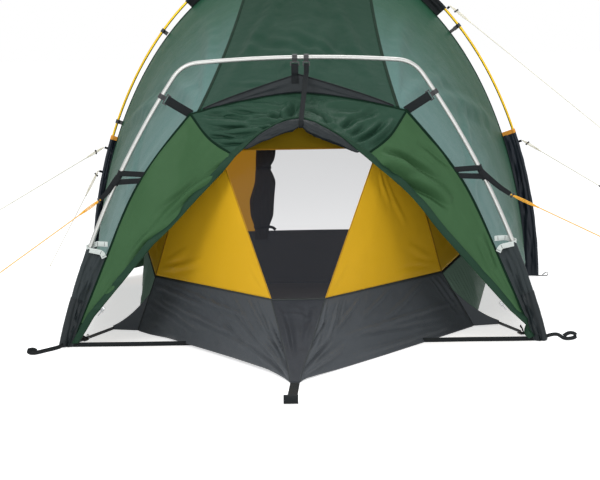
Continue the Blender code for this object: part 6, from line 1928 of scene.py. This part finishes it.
def corner_line(side, word):
    """Strap from the hoop's foot to the groundsheet's wing, with its locks and the ring."""
    wing_end = vec(side * WING_X, FOOT_Y + WING_Y, 0.008)
    foot = vec(side * (FOOT_HALF - CORNER_STRAP_INSET), FOOT_Y + 0.004, 0.008)
    aim = unit(foot - wing_end)
    end = foot - aim * 0.002
    across = unit(vec(aim[1] * side, -aim[0] * side, 1.8))
    if side == 1:
        buckle = foot - aim * BUCKLE_FROM_FOOT
        inside = aim * (BUCKLE_LENGTH / 2 - 0.005)
        end = buckle - inside
        strap("buckle_web", straight(buckle + inside, foot + aim * 0.008, 9), BASE_WEBBING, across)
        tail = smooth_line([buckle + vec(0, 0, 0.003), buckle - aim * 0.012 + vec(0.002, 0, 0.012),
                            buckle - aim * 0.030 + vec(0.006, 0, 0.014),
                            buckle - aim * 0.040 + vec(0.008, 0, 0.008)], 8)
        strap("buckle_tail", tail, BASE_WEBBING * 0.9, across, step=0.003)
    else:
        spot = foot - aim * RING_FROM_FOOT + vec(0, 0, 0.002)
        ring = round_turn(spot, aim, UP, 0.0075, 0, 2 * math.pi, 30)
        tube("corner_line_ring", ring, 0.0014, "zinc", 10, np.cross(aim, UP))
        line_buckle(foot - aim * LOCK_FROM_FOOT, aim)
    path = straight(wing_end - aim * 0.004, end, 5)
    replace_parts(strap("corner_line_" + word, path, BASE_WEBBING, across), "corner_strap_" + word)


def repaint(finish, *names):
    """Give CAD nodes, whose shape stays, a detailed finish."""
    for name in names:
        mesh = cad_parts[name].data
        mesh.materials.clear()
        mesh.materials.append(FINISHES[finish])


# Studio

STUDIO_REACH = 40.0
# Name, spot, height it is aimed at, diameter and power of each lamp
LAMPS = (
    ("key", (-2.6, -5.2, 3.6), 0.4, 2.6, 112.0),
    ("fill", (3.4, -4.4, 2.4), 0.4, 2.4, 36.0),
    ("front", (0.1, -6.4, 0.9), 0.2, 2.0, 42.0),
    ("top", (0.4, 0.6, 4.2), 0.3, 3.0, 70.0),
)


def studio():
    """White floor and backdrop, soft lamps and the camera."""
    mesh = bpy.data.meshes.new("studio_floor")
    corners = ((-1, -1), (1, -1), (1, 1), (-1, 1))
    mesh.from_pydata([(x * STUDIO_REACH, y * STUDIO_REACH, -0.0005) for x, y in corners], [], [(0, 1, 2, 3)])
    linked("studio_floor", mesh)
    made = bpy.data.materials.new("studio_white")
    made.use_nodes = True
    tree = Tree(made.node_tree)
    tree.nodes.clear()
    diffuse = tree.add("BsdfDiffuse", {"Color": (0.86, 0.86, 0.86, 1.0)}).outputs[0]
    glow = tree.add("Emission", {"Color": (1, 1, 1, 1), "Strength": 0.60}).outputs[0]
    by_ray(tree, "OutputMaterial", diffuse, tree.add("AddShader", {0: diffuse, 1: glow}).outputs[0])
    mesh.materials.append(made)

    scene = bpy.context.scene
    scene.world = bpy.data.worlds.new("studio")
    scene.world.use_nodes = True
    tree = Tree(scene.world.node_tree)
    tree.nodes.clear()
    fill = tree.add("Background", {"Color": (0.97, 0.98, 1.0, 1), "Strength": 0.58}).outputs[0]
    white = tree.add("Background", {"Color": (1, 1, 1, 1), "Strength": 1.0}).outputs[0]
    by_ray(tree, "OutputWorld", fill, white)

    for row in LAMPS:
        lamp(*row)
    scene.view_settings.view_transform = "Standard"

    yaw, pitch, roll = (math.radians(a) for a in (CAMERA_YAW, CAMERA_PITCH, CAMERA_ROLL))
    ahead = vec(-math.sin(yaw) * math.cos(pitch), math.cos(yaw) * math.cos(pitch), -math.sin(pitch))
    right = vec(math.cos(yaw), math.sin(yaw), 0)
    up = np.cross(right, ahead)
    right, up = (math.cos(roll) * right + math.sin(roll) * up, -math.sin(roll) * right + math.cos(roll) * up)
    data = bpy.data.cameras.new("camera")
    data.lens = LENS_MM
    data.sensor_width = SENSOR_MM
    data.sensor_fit = "HORIZONTAL"
    data.clip_end = 200.0
    scene.camera = linked("camera", data)
    place_by(scene.camera, right, up, -ahead, CAMERA_SPOT)


def by_ray(tree, output, usual, background):
    """End a tree in its usual shader, and in another for rays that see the background.

    Those come from the camera, in gloss, and through the netting.
    """
    path = tree.add("LightPath").outputs
    gloss = tree.maths("MAXIMUM", path["Is Glossy Ray"], path["Is Transmission Ray"])
    seen = tree.maths("MAXIMUM", path["Is Camera Ray"], gloss)
    mix = tree.add("MixShader", {0: seen, 1: usual, 2: background})
    tree.add(output, {"Surface": mix.outputs[0]})


def place_by(thing, right, up, back, spot):
    """Place a lamp or the camera by its own three directions."""
    rows = [[right[r], up[r], back[r], spot[r]] for r in range(3)]
    thing.matrix_world = Matrix(rows + [[0, 0, 0, 1]])


def lamp(name, spot, target_z, size, power):
    data = bpy.data.lights.new(name, "AREA")
    data.shape = "DISK"
    data.size = size
    data.energy = power
    away = unit(vec(*spot) - vec(0, 0, target_z))
    side = unit(np.cross(UP, away))
    place_by(linked(name, data), side, np.cross(away, side), away, spot)


studio()
guylines()
poles()
sleeves()
fly()
hood()
vestibule()
inner()
tub()
gusset()
roll_strap()
hook_straps()
bands_and_tabs()
ground_loops()
repaint("plastic", "corner_hook_left", "corner_hook_right", "top_hook_left", "top_hook_right",
        "main_clip_left_high", "main_clip_left_low", "main_clip_right", "ladder_lock", "line_tensioner")
repaint("zinc", "hatch_slider_left", "hatch_slider_right", "door_slider")
